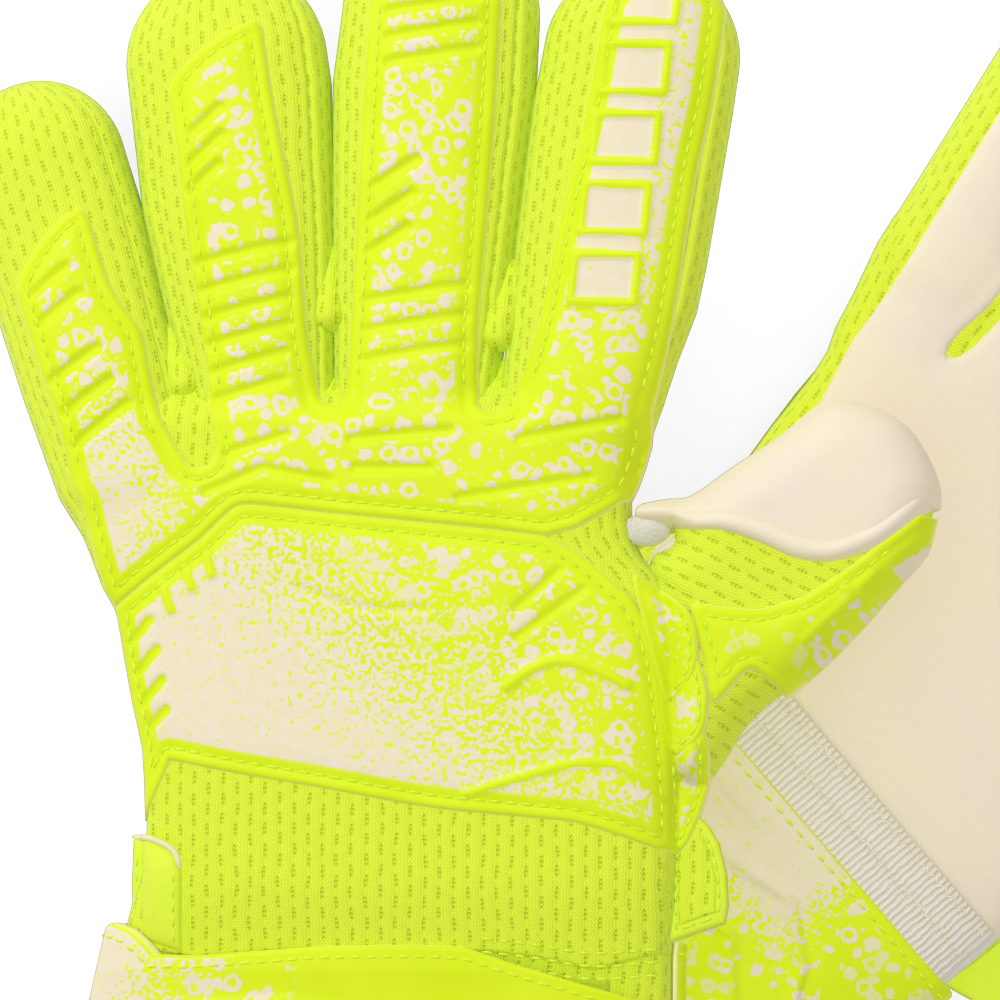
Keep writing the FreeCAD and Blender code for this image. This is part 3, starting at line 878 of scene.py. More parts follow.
FE["index"] += feature(index_bars(), 0.62, 0.7)
FE["knuckle"] = (
    feature([pxs((205, 494), (262, 470)), pxs((262, 470), (330, 482)), pxs((356, 470), (430, 470)), pxs((460, 500), (590, 478))], 0.8, -0.8)
    + feature([pxs((226, 455), (286, 436)), pxs((352, 440), (452, 432)), pxs((520, 440), (620, 420))], 0.8, -0.8)
)
FE["lower"] = (
    feature([pxs((163, 586), (172, 612)), pxs((184, 561), (193, 590)), pxs((205, 546), (213, 577))], 0.8, 0.55)
    + feature([pxs((133, 641), (150, 622)), pxs((139, 673), (158, 651)), pxs((145, 703), (164, 682)), pxs((151, 729), (168, 712))], 0.8, -0.7)
    + feature([pxs((520, 610), (562, 572)), pxs((520, 640), (585, 592))], 0.75, -0.6)
    + feature([smooth_poly(pxs((512, 688), (536, 671), (565, 662), (600, 671), (630, 686)), False, 5)], 0.85, 0.7)
    + feature([smooth_poly(pxs((470, 797), (540, 775), (590, 764), (630, 769), (668, 796)), False, 5)], 0.6, 0.5)
    + feature([smooth_poly(pxs((300, 590), (360, 610), (430, 612)), False, 5)], 0.8, -0.35, 0.0)
)


def offset_in(poly, dist):
    """Points along a closed outline moved inward, kept only where they stay that far in."""
    if area(poly) < 0:
        poly = poly[::-1]
    ring = resample(poly, 1.2)
    nxt, prv = np.roll(ring, -2, 0), np.roll(ring, 2, 0)
    t = nxt - prv
    t /= np.maximum(1e-9, np.hypot(t[:, 0], t[:, 1]))[:, None]
    q = ring + np.stack([-t[:, 1], t[:, 0]], 1) * dist
    ok = sdf(q, ring) > dist * 0.93
    return q, ok


def stitch_outline(soup, poly, dist, zf, height, mat, skip=(), sgn=1, pitch=3.0, keep=None):
    q, ok = offset_in(poly, dist)
    for line in skip:
        ok &= line_dist(q, line) > dist * 1.35
    if keep is not None:
        ok &= keep(q)
    # split into runs
    n = len(q)
    if ok.all():
        stitches(soup, q, zf, height, mat, pitch, sgn=sgn, closed=True)
        return
    start = int(np.argmin(ok))
    run = []
    for k in range(n + 1):
        i = (start + k) % n
        if ok[i] and k < n:
            run.append(q[i])
        else:
            if len(run) > 4:
                stitches(soup, np.array(run), zf, height, mat, pitch, sgn=sgn)
            run = []


ST = 0.72


def finger_blend(name):
    f = F[name]
    a, b = f.xy(-1.5, 0), f.xy(20.0, 0)
    return ("hand", name, (a[0], a[1], 12.0), (b[0], b[1], 12.0))


def dens_finger(name):
    f = F[name]

    def g(p, ed):
        u, w = f.uw(p[:, 0], p[:, 1])
        if name == "index":
            t = sm((u - 6) / 34) * sm((w + 9.5) / 5.0)
            blocks = sm((5.9 - np.abs(w - 0.4)) / 0.8) * sm((u - 17.0) / 1.5)
            return np.maximum(0.40 + 0.42 * t, 0.98 * blocks)
        if name == "little":
            return 0.78 - 0.36 * sm((u - 0) / 30)
        if name == "ring":
            return 0.43 + 0.05 * np.sin(u / 9.0)
        return 0.46 + 0.05 * np.sin(u / 11.0 + 1)
    return g


def dens_knuckle(p, ed):
    x = p[:, 0]
    return 0.90 - 0.50 * sm((x + 54) / 30)


def dens_lower(p, ed):
    x, y = p[:, 0], p[:, 1]
    t = sm(((x + 34) * 0.60 + (y + 26) * 0.62) / 62)
    return 0.96 - 0.50 * t


def finger_pat(name):
    f = F[name]
    off = {"little": 0, "ring": 60, "middle": 120, "index": 180}[name]

    def g(p):
        return np.column_stack([p, np.full(len(p), off * 0.0)])
    return g


# ---------------------------------------------------------------------- gloves
def shell_ring(xl, xr, h, n, p, zc=ZC):
    """One closed cross-section of the hand or cuff, from -x over the top and back."""
    t = np.arange(n) * 2 * math.pi / n
    c, s = np.cos(t), np.sin(t)
    x = (xl + xr) / 2 - (xr - xl) / 2 * np.sign(c) * np.abs(c) ** (2 / p)
    z = zc + h * np.sign(s) * np.abs(s) ** (2 / p)
    return x, z, t


def hand_shell(side):
    s = Soup()
    ys = np.concatenate([np.arange(-66, 30, 1.0), np.linspace(30, 47, 20)])
    n = 300
    P, A = [], []
    for y in ys:
        xl, xr = np.interp(y, HAND_L[:, 0], HAND_L[:, 1]), np.interp(y, HAND_R[:, 0], HAND_R[:, 1])
        k = 1 - sm((y - 33) / 16.0)
        wh, wz = wrist_h(y)
        h = float(wh) * max(k, 0.02) - 0.15
        x, z, t = shell_ring(xl + 0.2, xr - 0.2, h, n, 4.2, float(wz))
        # drop the knuckle end between the stalls
        P.append(np.column_stack([x, np.full(n, y), z]))
        seg = np.hypot(np.diff(x, append=x[0]), np.diff(z, append=z[0]))
        A.append(np.column_stack([np.cumsum(seg), np.full(n, y), np.zeros(n)]))
    ref = A[len(A) // 2][:, 0]
    A = [np.column_stack([ref, a[:, 1], a[:, 2]]) for a in A]
    grid_surface(s, np.array(P), 0, np.array(A), wrap=True)
    # towelling lining seen through the wrist
    Q = np.array([p for p in P if p[0, 1] < 20])
    Q = Q.copy()
    Q[:, :, 2] = ZC + (Q[:, :, 2] - ZC) * 0.80
    cx = Q[:, :, 0].mean(1, keepdims=True)
    Q[:, :, 0] = cx + (Q[:, :, 0] - cx) * 0.965
    grid_surface(s, Q, 1, None, wrap=True, flip=True)
    for path in (pxs((158, 318), (168, 356), (180, 392)), pxs((318, 238), (320, 282), (321, 324)), pxs((505, 254), (498, 300), (489, 344))):
        q = smooth_poly(path, False, 8)
        m = len(q)
        u_ = np.linspace(0, 1, m)
        rad = 3.1 * np.sqrt(np.clip(1 - np.clip((u_ - 0.8) / 0.205, 0, 1) ** 2, 0.01, 1)) * (0.55 + 0.45 * sm(u_ * 1.3))
        tube(s, np.column_stack([q, np.linspace(14.0, 18.8, m)]), rad, 0, 20)
    s.build(side + "_hand_mesh_shell", side, "hand", "air_mesh", ["mesh", "towel"], replaces=("hand_side_mesh", "backhand_foam"))


def finger_shell(side, name):
    f = F[name]
    s = Soup()
    n = 220
    us = np.concatenate([np.arange(-14, f.cap, 0.9), f.cap + (f.len - f.cap) * np.sin(np.linspace(0, math.pi / 2, 20))])
    P, A = [], []
    t = np.arange(n) * 2 * math.pi / n
    c, sn = np.cos(t), np.sin(t)
    for u in us:
        k = math.sqrt(max(0.0, 1 - (max(0.0, u - f.cap) / (f.len - f.cap)) ** 2))
        hl, hr = float(f.hw(min(u, f.cap), -1)), float(f.hw(min(u, f.cap), 1))
        w = np.where(c > 0, -hl, hr) * np.abs(c) ** (2 / f.p) * k
        ku = k ** 0.9
        seam = np.exp(-((np.abs(c) - 0.80) / 0.028) ** 2) * (sn > 0) * 0.6 * min(1.0, k * 1.6)
        w = w * (1 - seam / 17.0)
        hh = HF * float(sm(np.array((u + 26) / 26.0))) * ku - 0.1 - seam
        z = ZC + hh * np.sign(sn) * np.abs(sn) ** (2 / f.p)
        x, y = f.xy(u, w)
        P.append(np.column_stack([x, y, z]))
        A.append(np.column_stack([t, np.full(n, u), np.zeros(n)]))
    mid = P[len(P) // 2]
    step = np.linalg.norm(np.diff(mid, axis=0, append=mid[:1]), axis=1)
    ref = np.concatenate([[0], np.cumsum(step)[:-1]])
    A = [np.column_stack([ref, a[:, 1], a[:, 2]]) for a in A]
    grid_surface(s, np.array(P), 0, np.array(A), wrap=True)
    s.build("%s_%s_mesh_shell" % (side, name), side, name, "air_mesh", ["mesh_side"], replaces=(name + "_mesh_stall",), blend=finger_blend(name))


def finger_back(side, name):
    s = Soup()
    poly = smooth_sides(STRIPS[name])
    a, b = CUTS[name]
    zf = ztop
    drape(s, poly, ST, zf, 1.9, 1, 0, 1, pat=finger_pat(name), dens=dens_finger(name), emboss=emboss_from(FE[name]), open_edges=[[a, b]], puff=0.5, groove=2.4)
    stitch_outline(s, poly, 2.4, zf, 1.95, 2, skip=[[a, b]])
    s.build("%s_%s_back_panel" % (side, name), side, name, "printed_latex", ["print", "edge", "thread"], replaces=(name + "_back",), blend=finger_blend(name))


def smooth_sides(poly):
    """Rounds all corners except the first and the last point, the cut line's ends."""
    pts = smooth_poly(poly, False, 4)
    return [tuple(p) for p in pts]


def palm_outline(name):
    f = F[name]
    cap = f.cap - 1.0
    inset = {"little": (6.2, 1.8), "ring": (1.8, 1.8), "middle": (1.8, 1.8), "index": (1.8, 3.6)}[name]
    us = np.linspace(-1.0, cap, 9)
    left = [f.xy(u, -(float(f.hw(u, -1)) - inset[0])) for u in us]
    right = [f.xy(u, float(f.hw(u, 1)) - inset[1]) for u in us]
    wl, wr = float(f.hw(cap, -1)) - inset[0], float(f.hw(cap, 1)) - inset[1]
    tl = f.len - 2.0 - cap
    tip = []
    for a in np.linspace(-math.pi / 2, math.pi / 2, 15)[1:-1]:
        w = math.sin(a) * (wr if a > 0 else wl)
        tip.append(f.xy(cap + tl * math.cos(a), w))
    return left + tip + right[::-1]


def palm_cuts():
    return {n: [palm_outline(n)[0], palm_outline(n)[-1]] for n in FING}


PALM_CUT = palm_cuts()


def palm_poly():
    pts = pxs((150, 862), (150, 818), (147, 781), (146, 747), (140, 701))
    pts += [(-43.2, -9.0), (-46.0, -2.0), (-48.0, 3.0)]
    a, b = PALM_CUT["little"]
    pts += [(-50.6, 14.0), a, b, (-36.0, 20.0), (-35.4, 16.4), (-34.2, 14.7), (-32.6, 16.4), (-32.2, 20.0)]
    a, b = PALM_CUT["ring"]
    pts += [a, b, (-8.9, 31.0), (-7.6, 28.2), (-6.2, 31.0)]
    a, b = PALM_CUT["middle"]
    pts += [a, b, (20.4, 30.0), (21.8, 27.0), (23.2, 30.0)]
    a, b = PALM_CUT["index"]
    pts += [a, b, (49.0, 28.0), (46.8, 20.0), (47.2, 14.0), (51.0, 6.0), (55.4, -2.0), (56.6, -20.0), (56.4, -40.0), (55.6, -50.0), (30.0, -50.2), (-6.0, -49.8), (-30.0, -49.6), (-41.5, -49.4)]
    return pts


def finger_palm(side, name):
    s = Soup()
    poly = palm_outline(name)
    a, b = PALM_CUT[name]
    drape(s, poly, ST * 1.35, zbot, 1.7, -1, 0, 1, open_edges=[[a, b]], puff=0.5, rise=1.6)
    s.build("%s_%s_palm_latex" % (side, name), side, name, "palm_latex", ["cream", "cream"], replaces=(name + "_palm_strip",), blend=finger_blend(name))


def palm(side):
    s = Soup()
    poly = palm_poly()
    drape(s, poly, ST * 1.5, zbot, 1.7, -1, 0, 1, open_edges=[PALM_CUT[n] for n in FING], puff=0.5, rise=1.6)
    s.build(side + "_palm_latex", side, "hand", "palm_latex", ["cream", "cream"], replaces=("palm",))


def knuckle(side):
    s = Soup()
    poly = knuckle_poly()
    drape(s, poly, ST, ztop, 1.9, 1, 0, 1, dens=dens_knuckle, emboss=emboss_from(FE["knuckle"]), open_edges=[CUTS[n] for n in FING], puff=0.5, groove=2.4)
    stitch_outline(s, poly, 2.4, ztop, 1.95, 2, skip=[CUTS[n] for n in FING])
    s.build(side + "_knuckle_back_panel", side, "hand", "printed_latex", ["print", "edge", "thread"], replaces=("knuckle_panel",))


def lower_back(side):
    s = Soup()
    drape(s, LOWER_POLY, ST, ztop, 1.9, 1, 0, 1, dens=dens_lower, emboss=emboss_from(FE["lower"]), puff=0.5, groove=2.4)
    stitch_outline(s, LOWER_POLY, 2.4, ztop, 1.95, 2)
    s.build(side + "_lower_back_latex", side, "hand", "printed_latex", ["print", "edge", "thread"], replaces=("lower_back_panel",))


# cuff: an open sleeve, its strap and the two tabs
CUFF_Z, CUFF_H, CUFF_P = 11.0, 8.6, 3.6


def cuff_edges(y):
    xl = np.interp(y, [-137, -118, -76, -62, -50], [-51.0, -50.5, -49.5, -46.5, -43.5])
    xr = np.interp(y, [-137, -75, -66, -58, -50], [57.4, 56.8, 56.8, 57.6, 58.0])
    return xl, xr


def cuff_ring(y, grow, n, zc=CUFF_Z, taper=True):
    xl, xr = cuff_edges(y)
    h, z0 = (float(v) for v in wrist_h(y))
    h -= 0.3
    return shell_ring(xl - grow, xr + grow, h + grow, n, CUFF_P, z0)


def cuff(side):
    s = Soup()
    n = 220
    ys = np.arange(-137, -47.9, 1.0)
    P, A = [], []
    for y in ys:
        x, z, t = cuff_ring(y, 0.0, n)
        P.append(np.column_stack([x, np.full(n, y), z]))
        seg = np.hypot(np.diff(x, append=x[0]), np.diff(z, append=z[0]))
        A.append(np.column_stack([np.cumsum(seg), np.full(n, y), np.zeros(n)]))
    P, A = np.array(P), np.array(A)
    grid_surface(s, P, 0, A, wrap=True)
    Q = []
    for y in ys:
        x, z, t = cuff_ring(y, -1.5, n)
        Q.append(np.column_stack([x, np.full(n, y), z]))
    Q = np.array(Q)
    grid_surface(s, Q, 1, A, wrap=True, flip=True)
    # bound rim at the mouth
    rim = []
    for k, a in enumerate(np.linspace(0, math.pi, 7)):
        g = -0.75 + 1.35 * math.cos(a)
        x, z, t = cuff_ring(-137.0, g, n)
        rim.append(np.column_stack([x, np.full(n, -137.0 - 1.0 * math.sin(a)), z]))
    grid_surface(s, np.array(rim), 2, np.tile(A[0], (7, 1, 1)), wrap=True, flip=True)
    s.build(side + "_cuff_sleeve_tube", side, "hand", "lining_fabric", ["mesh", "lining", "neon"], replaces=("cuff_sleeve",))


def cuff_surface(theta, y, grow):
    """Point of the cuff at angle theta: 0 little finger side, pi/2 back, pi thumb side."""
    xl, xr = cuff_edges(y)
    h, z0 = (float(v) for v in wrist_h(min(y, -70.0)))
    h += grow - 0.3
    c, sn = math.cos(theta), math.sin(theta)
    x = (xl + xr) / 2 - ((xr - xl) / 2 + grow) * math.copysign(abs(c) ** (2 / CUFF_P), c)
    z = z0 + h * math.copysign(abs(sn) ** (2 / CUFF_P), sn)
    return x, z


def band(s, thetas, top, bottom, grow0, grow1, mat, inner_mat, dens=None, emboss=None, rows=None, ends=(True, True), border=3.4):
    """A strap lying round the cuff between angles; top and bottom give y at an angle."""
    rows = rows or (70)
    cols = len(thetas)
    v = np.linspace(0, 1, rows)
    v = np.unique(np.concatenate([v, [0.004, 0.012, 0.022, 0.978, 0.988, 0.996]]))
    P = np.zeros((len(v), cols, 3))
    A = np.zeros_like(P)
    E = np.zeros((len(v), cols))
    G = np.zeros((len(v), cols))
    # arc length along the band, for the pattern
    mids = [np.array(cuff_surface(t, -90.0, grow1)) for t in thetas]
    arc = np.concatenate([[0], np.cumsum([np.hypot(*(mids[i + 1] - mids[i])) for i in range(cols - 1)])])
    for j, t in enumerate(thetas):
        y0, y1 = bottom(t), top(t)
        for i, q in enumerate(v):
            y = y0 + (y1 - y0) * q
            L = y1 - y0
            ed = min(q, 1 - q) * L
            if ends[0]:
                ed = min(ed, arc[j])
            if ends[1]:
                ed = min(ed, arc[-1] - arc[j])
            pr = math.sqrt(max(0.0, 1 - (1 - min(1.0, ed / 1.0)) ** 2))
            g = grow0 + (grow1 - grow0) * (0.25 + 0.75 * pr)
            G[i, j], E[i, j] = g, ed
            A[i, j] = (arc[j], y, 0)
            P[i, j, 1] = y
    if emboss is not None:
        e, m = emboss(A[:, :, :2].reshape(-1, 2))
        G += e.reshape(G.shape) * np.clip(E / 2, 0, 1)
        M = m.reshape(G.shape)
    else:
        M = np.zeros(G.shape)
    for j, t in enumerate(thetas):
        for i in range(len(v)):
            x, z = cuff_surface(t, P[i, j, 1], G[i, j])
            P[i, j, 0], P[i, j, 2] = x, z
    r, c = P.shape[:2]
    f = []
    for i in range(r - 1):
        for j in range(c - 1):
            f.append((i * c + j, i * c + j + 1, (i + 1) * c + j + 1, (i + 1) * c + j))
    dn = np.full(r * c, 0.35) if dens is None else dens(A.reshape(-1, 3), P.reshape(-1, 3))
    ea = E.ravel() + (6.0 if border == 0.0 else 0.0) * dn
    s.add(P.reshape(-1, 3), f, mat, A.reshape(-1, 3), np.where(E.ravel() < 0.5, E.ravel(), ea), dn, M.ravel())
    # inner face and the four sides
    Q = np.zeros_like(P)
    Q[:, :, 1] = P[:, :, 1]
    for j, t in enumerate(thetas):
        for i in range(r):
            x, z = cuff_surface(t, P[i, j, 1], grow0)
            Q[i, j, 0], Q[i, j, 2] = x, z
    s.add(Q.reshape(-1, 3), [q[::-1] for q in f], inner_mat, A.reshape(-1, 3), np.zeros(r * c), np.zeros(r * c))
    for idx, fl in ((np.arange(c), False), (np.arange(c) + (r - 1) * c, True), (np.arange(r) * c, True), (np.arange(r) * c + c - 1, False)):
        a = P.reshape(-1, 3)[idx]
        b = Q.reshape(-1, 3)[idx]
        k = len(idx)
        ff = [(i, k + i, k + i + 1, i + 1) for i in range(k - 1)]
        if fl:
            ff = [q[::-1] for q in ff]
        s.add(np.concatenate([a, b]), ff, 1, np.tile(A.reshape(-1, 3)[idx], (2, 1)), np.zeros(2 * k), np.zeros(2 * k))
    return P, A


def theta_of(x, y, grow=0.0):
    xl, xr = cuff_edges(y)
    c = -(x - (xl + xr) / 2) / ((xr - xl) / 2 + grow)
    c = np.clip(c, -1, 1)
    return math.acos(math.copysign(abs(c) ** (CUFF_P / 2), c))


STRAP_TOP = np.array(pxs((100, 918), (118, 924), (134, 930), (152, 943), (165, 955), (206, 956), (270, 951), (330, 946), (428, 944), (469, 946), (525, 964), (580, 980), (634, 995), (680, 1006)))


def strap_top_y(t):
    x, z = cuff_surface(t, -66.0, 2.0)
    return float(np.interp(x, STRAP_TOP[:, 0], STRAP_TOP[:, 1]))


def strap(side):
    # wrapped half: from the little finger side under the palm to the thumb side
    s = Soup()
    n = 150
    base_t = list(np.linspace(0.02, -math.pi, n))

    def top(t):
        if t > -0.6:
            return strap_top_y(0.02) + (-63.2 - strap_top_y(0.02)) * float(sm(np.array(-t / 0.6)))
        return -63.2

    def palm_ridges():
        L = []
        mids = [np.array(cuff_surface(t, -90.0, 2.6)) for t in base_t]
        arc = np.concatenate([[0], np.cumsum([np.hypot(*(mids[i + 1] - mids[i])) for i in range(n - 1)])])

        def arc_at(x):
            xs = np.array([m[0] for m in mids])
            return float(np.interp(x, xs, arc))
        for path in ([(4.0, -68.0), (10.5, -79.0), (24.0, -75.0), (36.0, -82.0), (44.0, -94.0)], [(-18.0, -70.0), (-8.0, -88.0), (8.0, -92.0), (22.0, -88.0), (34.0, -98.0)], [(-34.0, -74.0), (-24.0, -98.0), (-4.0, -106.0), (16.0, -102.0), (30.0, -110.0)]):
            L.append([(arc_at(x), y) for x, y in path])
        return L
    em = emboss_from(feature(palm_ridges(), 1.0, 0.9, 0.0))
    def dens_wrap(a, q):
        return 0.97 - 0.85 * np.maximum(sm((q[:, 0] - 20) / 24.0), sm((-74 - q[:, 1]) / 22.0))
    P, A = band(s, base_t, top, lambda t: -121.5, 0.4, 2.7, 0, 3, dens=dens_wrap, emboss=em, ends=(False, True), border=0.0)
    add_band_stitches(s, P, A, 2, ends=(False, True))
    # faces run the other way round here
    s.f = [q[::-1] for q in s.f]
    s.build(side + "_strap_wrap", side, "hand", "strap_latex", ["print", "edge", "thread", "lining"], replaces=("strap_base",))
    # closing flap over the back of the wrist
    s = Soup()
    tr = theta_of(54.0, -90.0, 3.0)
    flap_t = list(np.linspace(0.0, tr, n))
    em = emboss_from(feature([[(6.0, -79.0 - 9 * k), (46.0, -76.0 - 9 * k), (92.0, -84.0 - 9 * k)] for k in range(0, 5)], 0.9, 0.7, 0.0))
    P, A = band(s, flap_t, strap_top_y, lambda t: -121.5, 1.6, 3.9, 0, 3, dens=lambda a, q: 0.92 - 0.40 * sm((a[:, 0] - 6) / 22.0) - 0.50 * sm((a[:, 0] - 28) / 24.0), emboss=em, ends=(False, True), border=0.0)
    add_band_stitches(s, P, A, 2, ends=(False, True))
    x0 = -50.0
    s.build(side + "_strap_flap_band", side, "strap", "strap_latex", ["print", "edge", "thread", "hook"], replaces=("strap_flap",), blend=("hand", "strap", (-52.5, -93.0, 20.0), (-41.0, -93.0, 20.0)))
    # hook tape under the flap, loop pile on the sleeve
    for nm, g0, g1, mat, slot, rep, y0, y1, xa, xb in (("hook_tape", 0.95, 1.5, "hook", "hook_tape", "hook_patch", -114, -73, -8, 44), ("loop_pile", 0.02, 0.6, "loop", "loop_pile", "loop_patch", -116, -71, -12, 46)):
        s = Soup()
        ts = list(np.linspace(theta_of(xa, -90.0), theta_of(xb, -90.0), 40))
        band(s, ts, lambda t, y1=y1: float(y1), lambda t, y0=y0: float(y0), g0, g1, 0, 0, dens=None)
        s.build("%s_%s" % (side, nm), side, "strap" if "hook" in nm else "hand", slot, [mat, mat], replaces=(rep,))


def add_band_stitches(s, P, A, mat, inset=2.4, ends=(True, True), pitch=3.0):
    """Stitches along the two long edges of a band, and across its free end."""
    r, c = P.shape[:2]
    runs = []
    for sign in (0, 1):
        pts = []
        for j in range(c):
            ycol = P[:, j, 1]
            y = ycol[0] + inset if sign == 0 else ycol[-1] - inset
            i = int(np.argmin(np.abs(ycol - y)))
            pts.append((P[i, j, 0], y, P[i, j, 2]))
        runs.append(np.array(pts))
    for e, j0 in ((ends[0], 0), (ends[1], c - 1)):
        if e:
            arc = A[0, :, 0]
            j = int(np.argmin(np.abs(arc - (arc[j0] - inset if j0 else inset))))
            runs.append(P[3:-3, j, :])
    for line in runs:
        seg = np.linalg.norm(np.diff(line, axis=0), axis=1)
        S_ = np.concatenate([[0], np.cumsum(seg)])
        n = max(1, int(S_[-1] / pitch))
        for k in range(n):
            t = np.linspace((k + 0.5) * S_[-1] / n - 1.05, (k + 0.5) * S_[-1] / n + 1.05, 5)
            q = np.column_stack([np.interp(t, S_, line[:, i]) for i in range(3)])
            # lift away from the cuff's middle
            out = q - np.array([3.0, 0, CUFF_Z])
            out[:, 1] = 0
            out[:, 0] *= 0.02
            out /= np.maximum(1e-9, np.linalg.norm(out, axis=1))[:, None]
            q = q + out * (0.16 * np.array([-1.2, 0.5, 0.9, 0.5, -1.2]))[:, None]
            tube(s, q, 0.27 * np.array([0.55, 1, 1.05, 1, 0.55]), mat, 5)


def wrist(side):
    # mesh panel over the back of the wrist with a stitched hem, following hand and cuff
    s = Soup()

    zw = ztop
    poly = pxs((150, 800), (176, 755), (240, 768), (330, 782), (438, 800), (547, 811), (600, 817), (676, 842), (678, 862), (679, 879), (676, 909), (669, 930), (664, 950)) + pxs((600, 968), (540, 956), (480, 950), (400, 948), (300, 950), (200, 958), (150, 950), (146, 900), (145, 850))
    drape(s, poly, 1.2, zw, 0.9, 1, 0, 0, pat=lambda p: np.column_stack([p, np.zeros(len(p))]))
    for off in (0.0, 2.4, 4.8):
        line = np.array(pxs((486, 938), (540, 944), (600, 952), (664, 946))) - np.array([0, off])
        stitches(s, smooth_poly(line, False, 6), zw, 1.0, 1, pitch=3.0)
    s.build(side + "_wrist_mesh", side, "hand", "air_mesh", ["mesh", "thread"], replaces=("wrist_mesh_panel",))
    # elastic across the palm side
    s = Soup()

    def zp(x, y):
        x, y = np.asarray(x, float), np.asarray(y, float)
        a = ZC - 11.4 * (1 - np.clip(np.abs((x - 7.4) / 50.6), 0, 0.9999) ** 4.0) ** 0.25
        return a
    poly = [(-42.5, -47.0), (56.8, -47.4), (57.0, -64.5), (-43.0, -64.5)]
    ribs = lambda p: ((0.02 + 0.07 * sm((-55.8 - p[:, 1]) / 1.2)) * np.sin(p[:, 0] * 2 * math.pi / 1.25) + 0.35 * np.exp(-((p[:, 1] + 51.6) / 0.9) ** 2) + 0.35 * np.exp(-((p[:, 1] + 57.2) / 0.9) ** 2), np.zeros(len(p)))
    drape(s, poly, 0.42, zp, 0.6, -1, 0, 0, emboss=ribs)
    for y0 in (-51.6, -57.2):
        zz = [(x, y0 + (0.75 if k % 2 else -0.75)) for k, x in enumerate(np.arange(-40, 55, 1.35))]
        xs = np.array(zz)
        for k in range(len(xs) - 1):
            stitches(s, xs[k:k + 2], zp, 1.05, 1, pitch=2.0, length=1.4, rad=0.17, sgn=-1)
    s.build(side + "_palm_elastic", side, "hand", "rib_elastic", ["rib", "thread_cream"], replaces=("wrist_elastic",))
    # pull tab on the little finger side and piped patch on the thumb side
    s = Soup()
    tab = pxs((131, 836), (150, 840), (176, 851), (184, 860), (187, 874), (187, 953), (160, 944), (132, 930), (130, 880))
    drape(s, tab, 0.8, zw, 2.3, 1, 0, 1, puff=0.9, rise=1.6)
    lip = smooth_poly(pxs((131, 835), (150, 839), (170, 847), (181, 856), (186, 872)), False, 6)
    tube(s, np.column_stack([lip, zw(lip[:, 0], lip[:, 1]) + 2.5]), np.concatenate([np.linspace(0.15, 0.6, 4), np.full(len(lip) - 8, 0.6), np.linspace(0.6, 0.15, 4)]), 1, 10)
    for a_, b_ in (((136, 852), (138, 928)), ((180, 872), (180, 945))):
        stitches(s, np.array(pxs(a_, b_)), zw, 3.15, 2, pitch=2.6)
    patch = pxs((672, 806), (697, 810), (708, 820), (719, 838), (727, 868), (729, 900), (726, 918), (700, 927), (670, 938), (668, 880))
    flat = lambda x, y: np.full(len(x), 13.0)
    drape(s, patch, 0.8, flat, 1.6, 1, 0, 1, puff=0.5)
    drape(s, patch, 0.8, lambda x, y: np.full(len(x), 13.0), 0.6, -1, 0, 1)
    stitch_outline(s, patch, 1.6, flat, 1.85, 2, pitch=2.4)
    inner = pxs((676, 822), (700, 826), (710, 845), (717, 872), (717, 908), (680, 921))
    drape(s, inner, 0.9, lambda x, y: np.full(len(x), 14.4), 0.75, 1, 3, 1, rise=0.6)
    s.build(side + "_pull_tab_pieces", side, "hand", "neon_tab", ["neon", "edge", "thread", "mesh"], replaces=("pull_tabs",))


# thumb: one puffy stall lying on its side
TH_OUT = smooth_poly(pxs((636, 506), (662, 500), (690, 496), (730, 468), (768, 443), (800, 420), (823, 406), (840, 401), (866, 406), (894, 421), (912, 443), (925, 469), (930, 492), (926, 521), (917, 547), (887, 581), (860, 613), (830, 645), (805, 668), (784, 686), (760, 704), (738, 730), (722, 758), (700, 780), (672, 760), (664, 650), (650, 590), (645, 562), (651, 548), (668, 540), (668, 522), (640, 514)), True, 5)
TH_RING = resample([tuple(p) for p in TH_OUT], 1.0)


def thumb_h(x, y):
    p = np.column_stack([np.asarray(x, float), np.asarray(y, float)])
    d = sdf(p, TH_RING)
    q = np.clip(d / 11.0, 0, 1)
    return 10.2 * np.sqrt(np.clip(1 - (1 - q) ** 2.3, 0, 1)) + np.minimum(0, d) * 0.5


def thumb_top(x, y):
    return 12.5 + thumb_h(x, y)


def thumb_bot(x, y):
    return 12.5 - thumb_h(x, y)


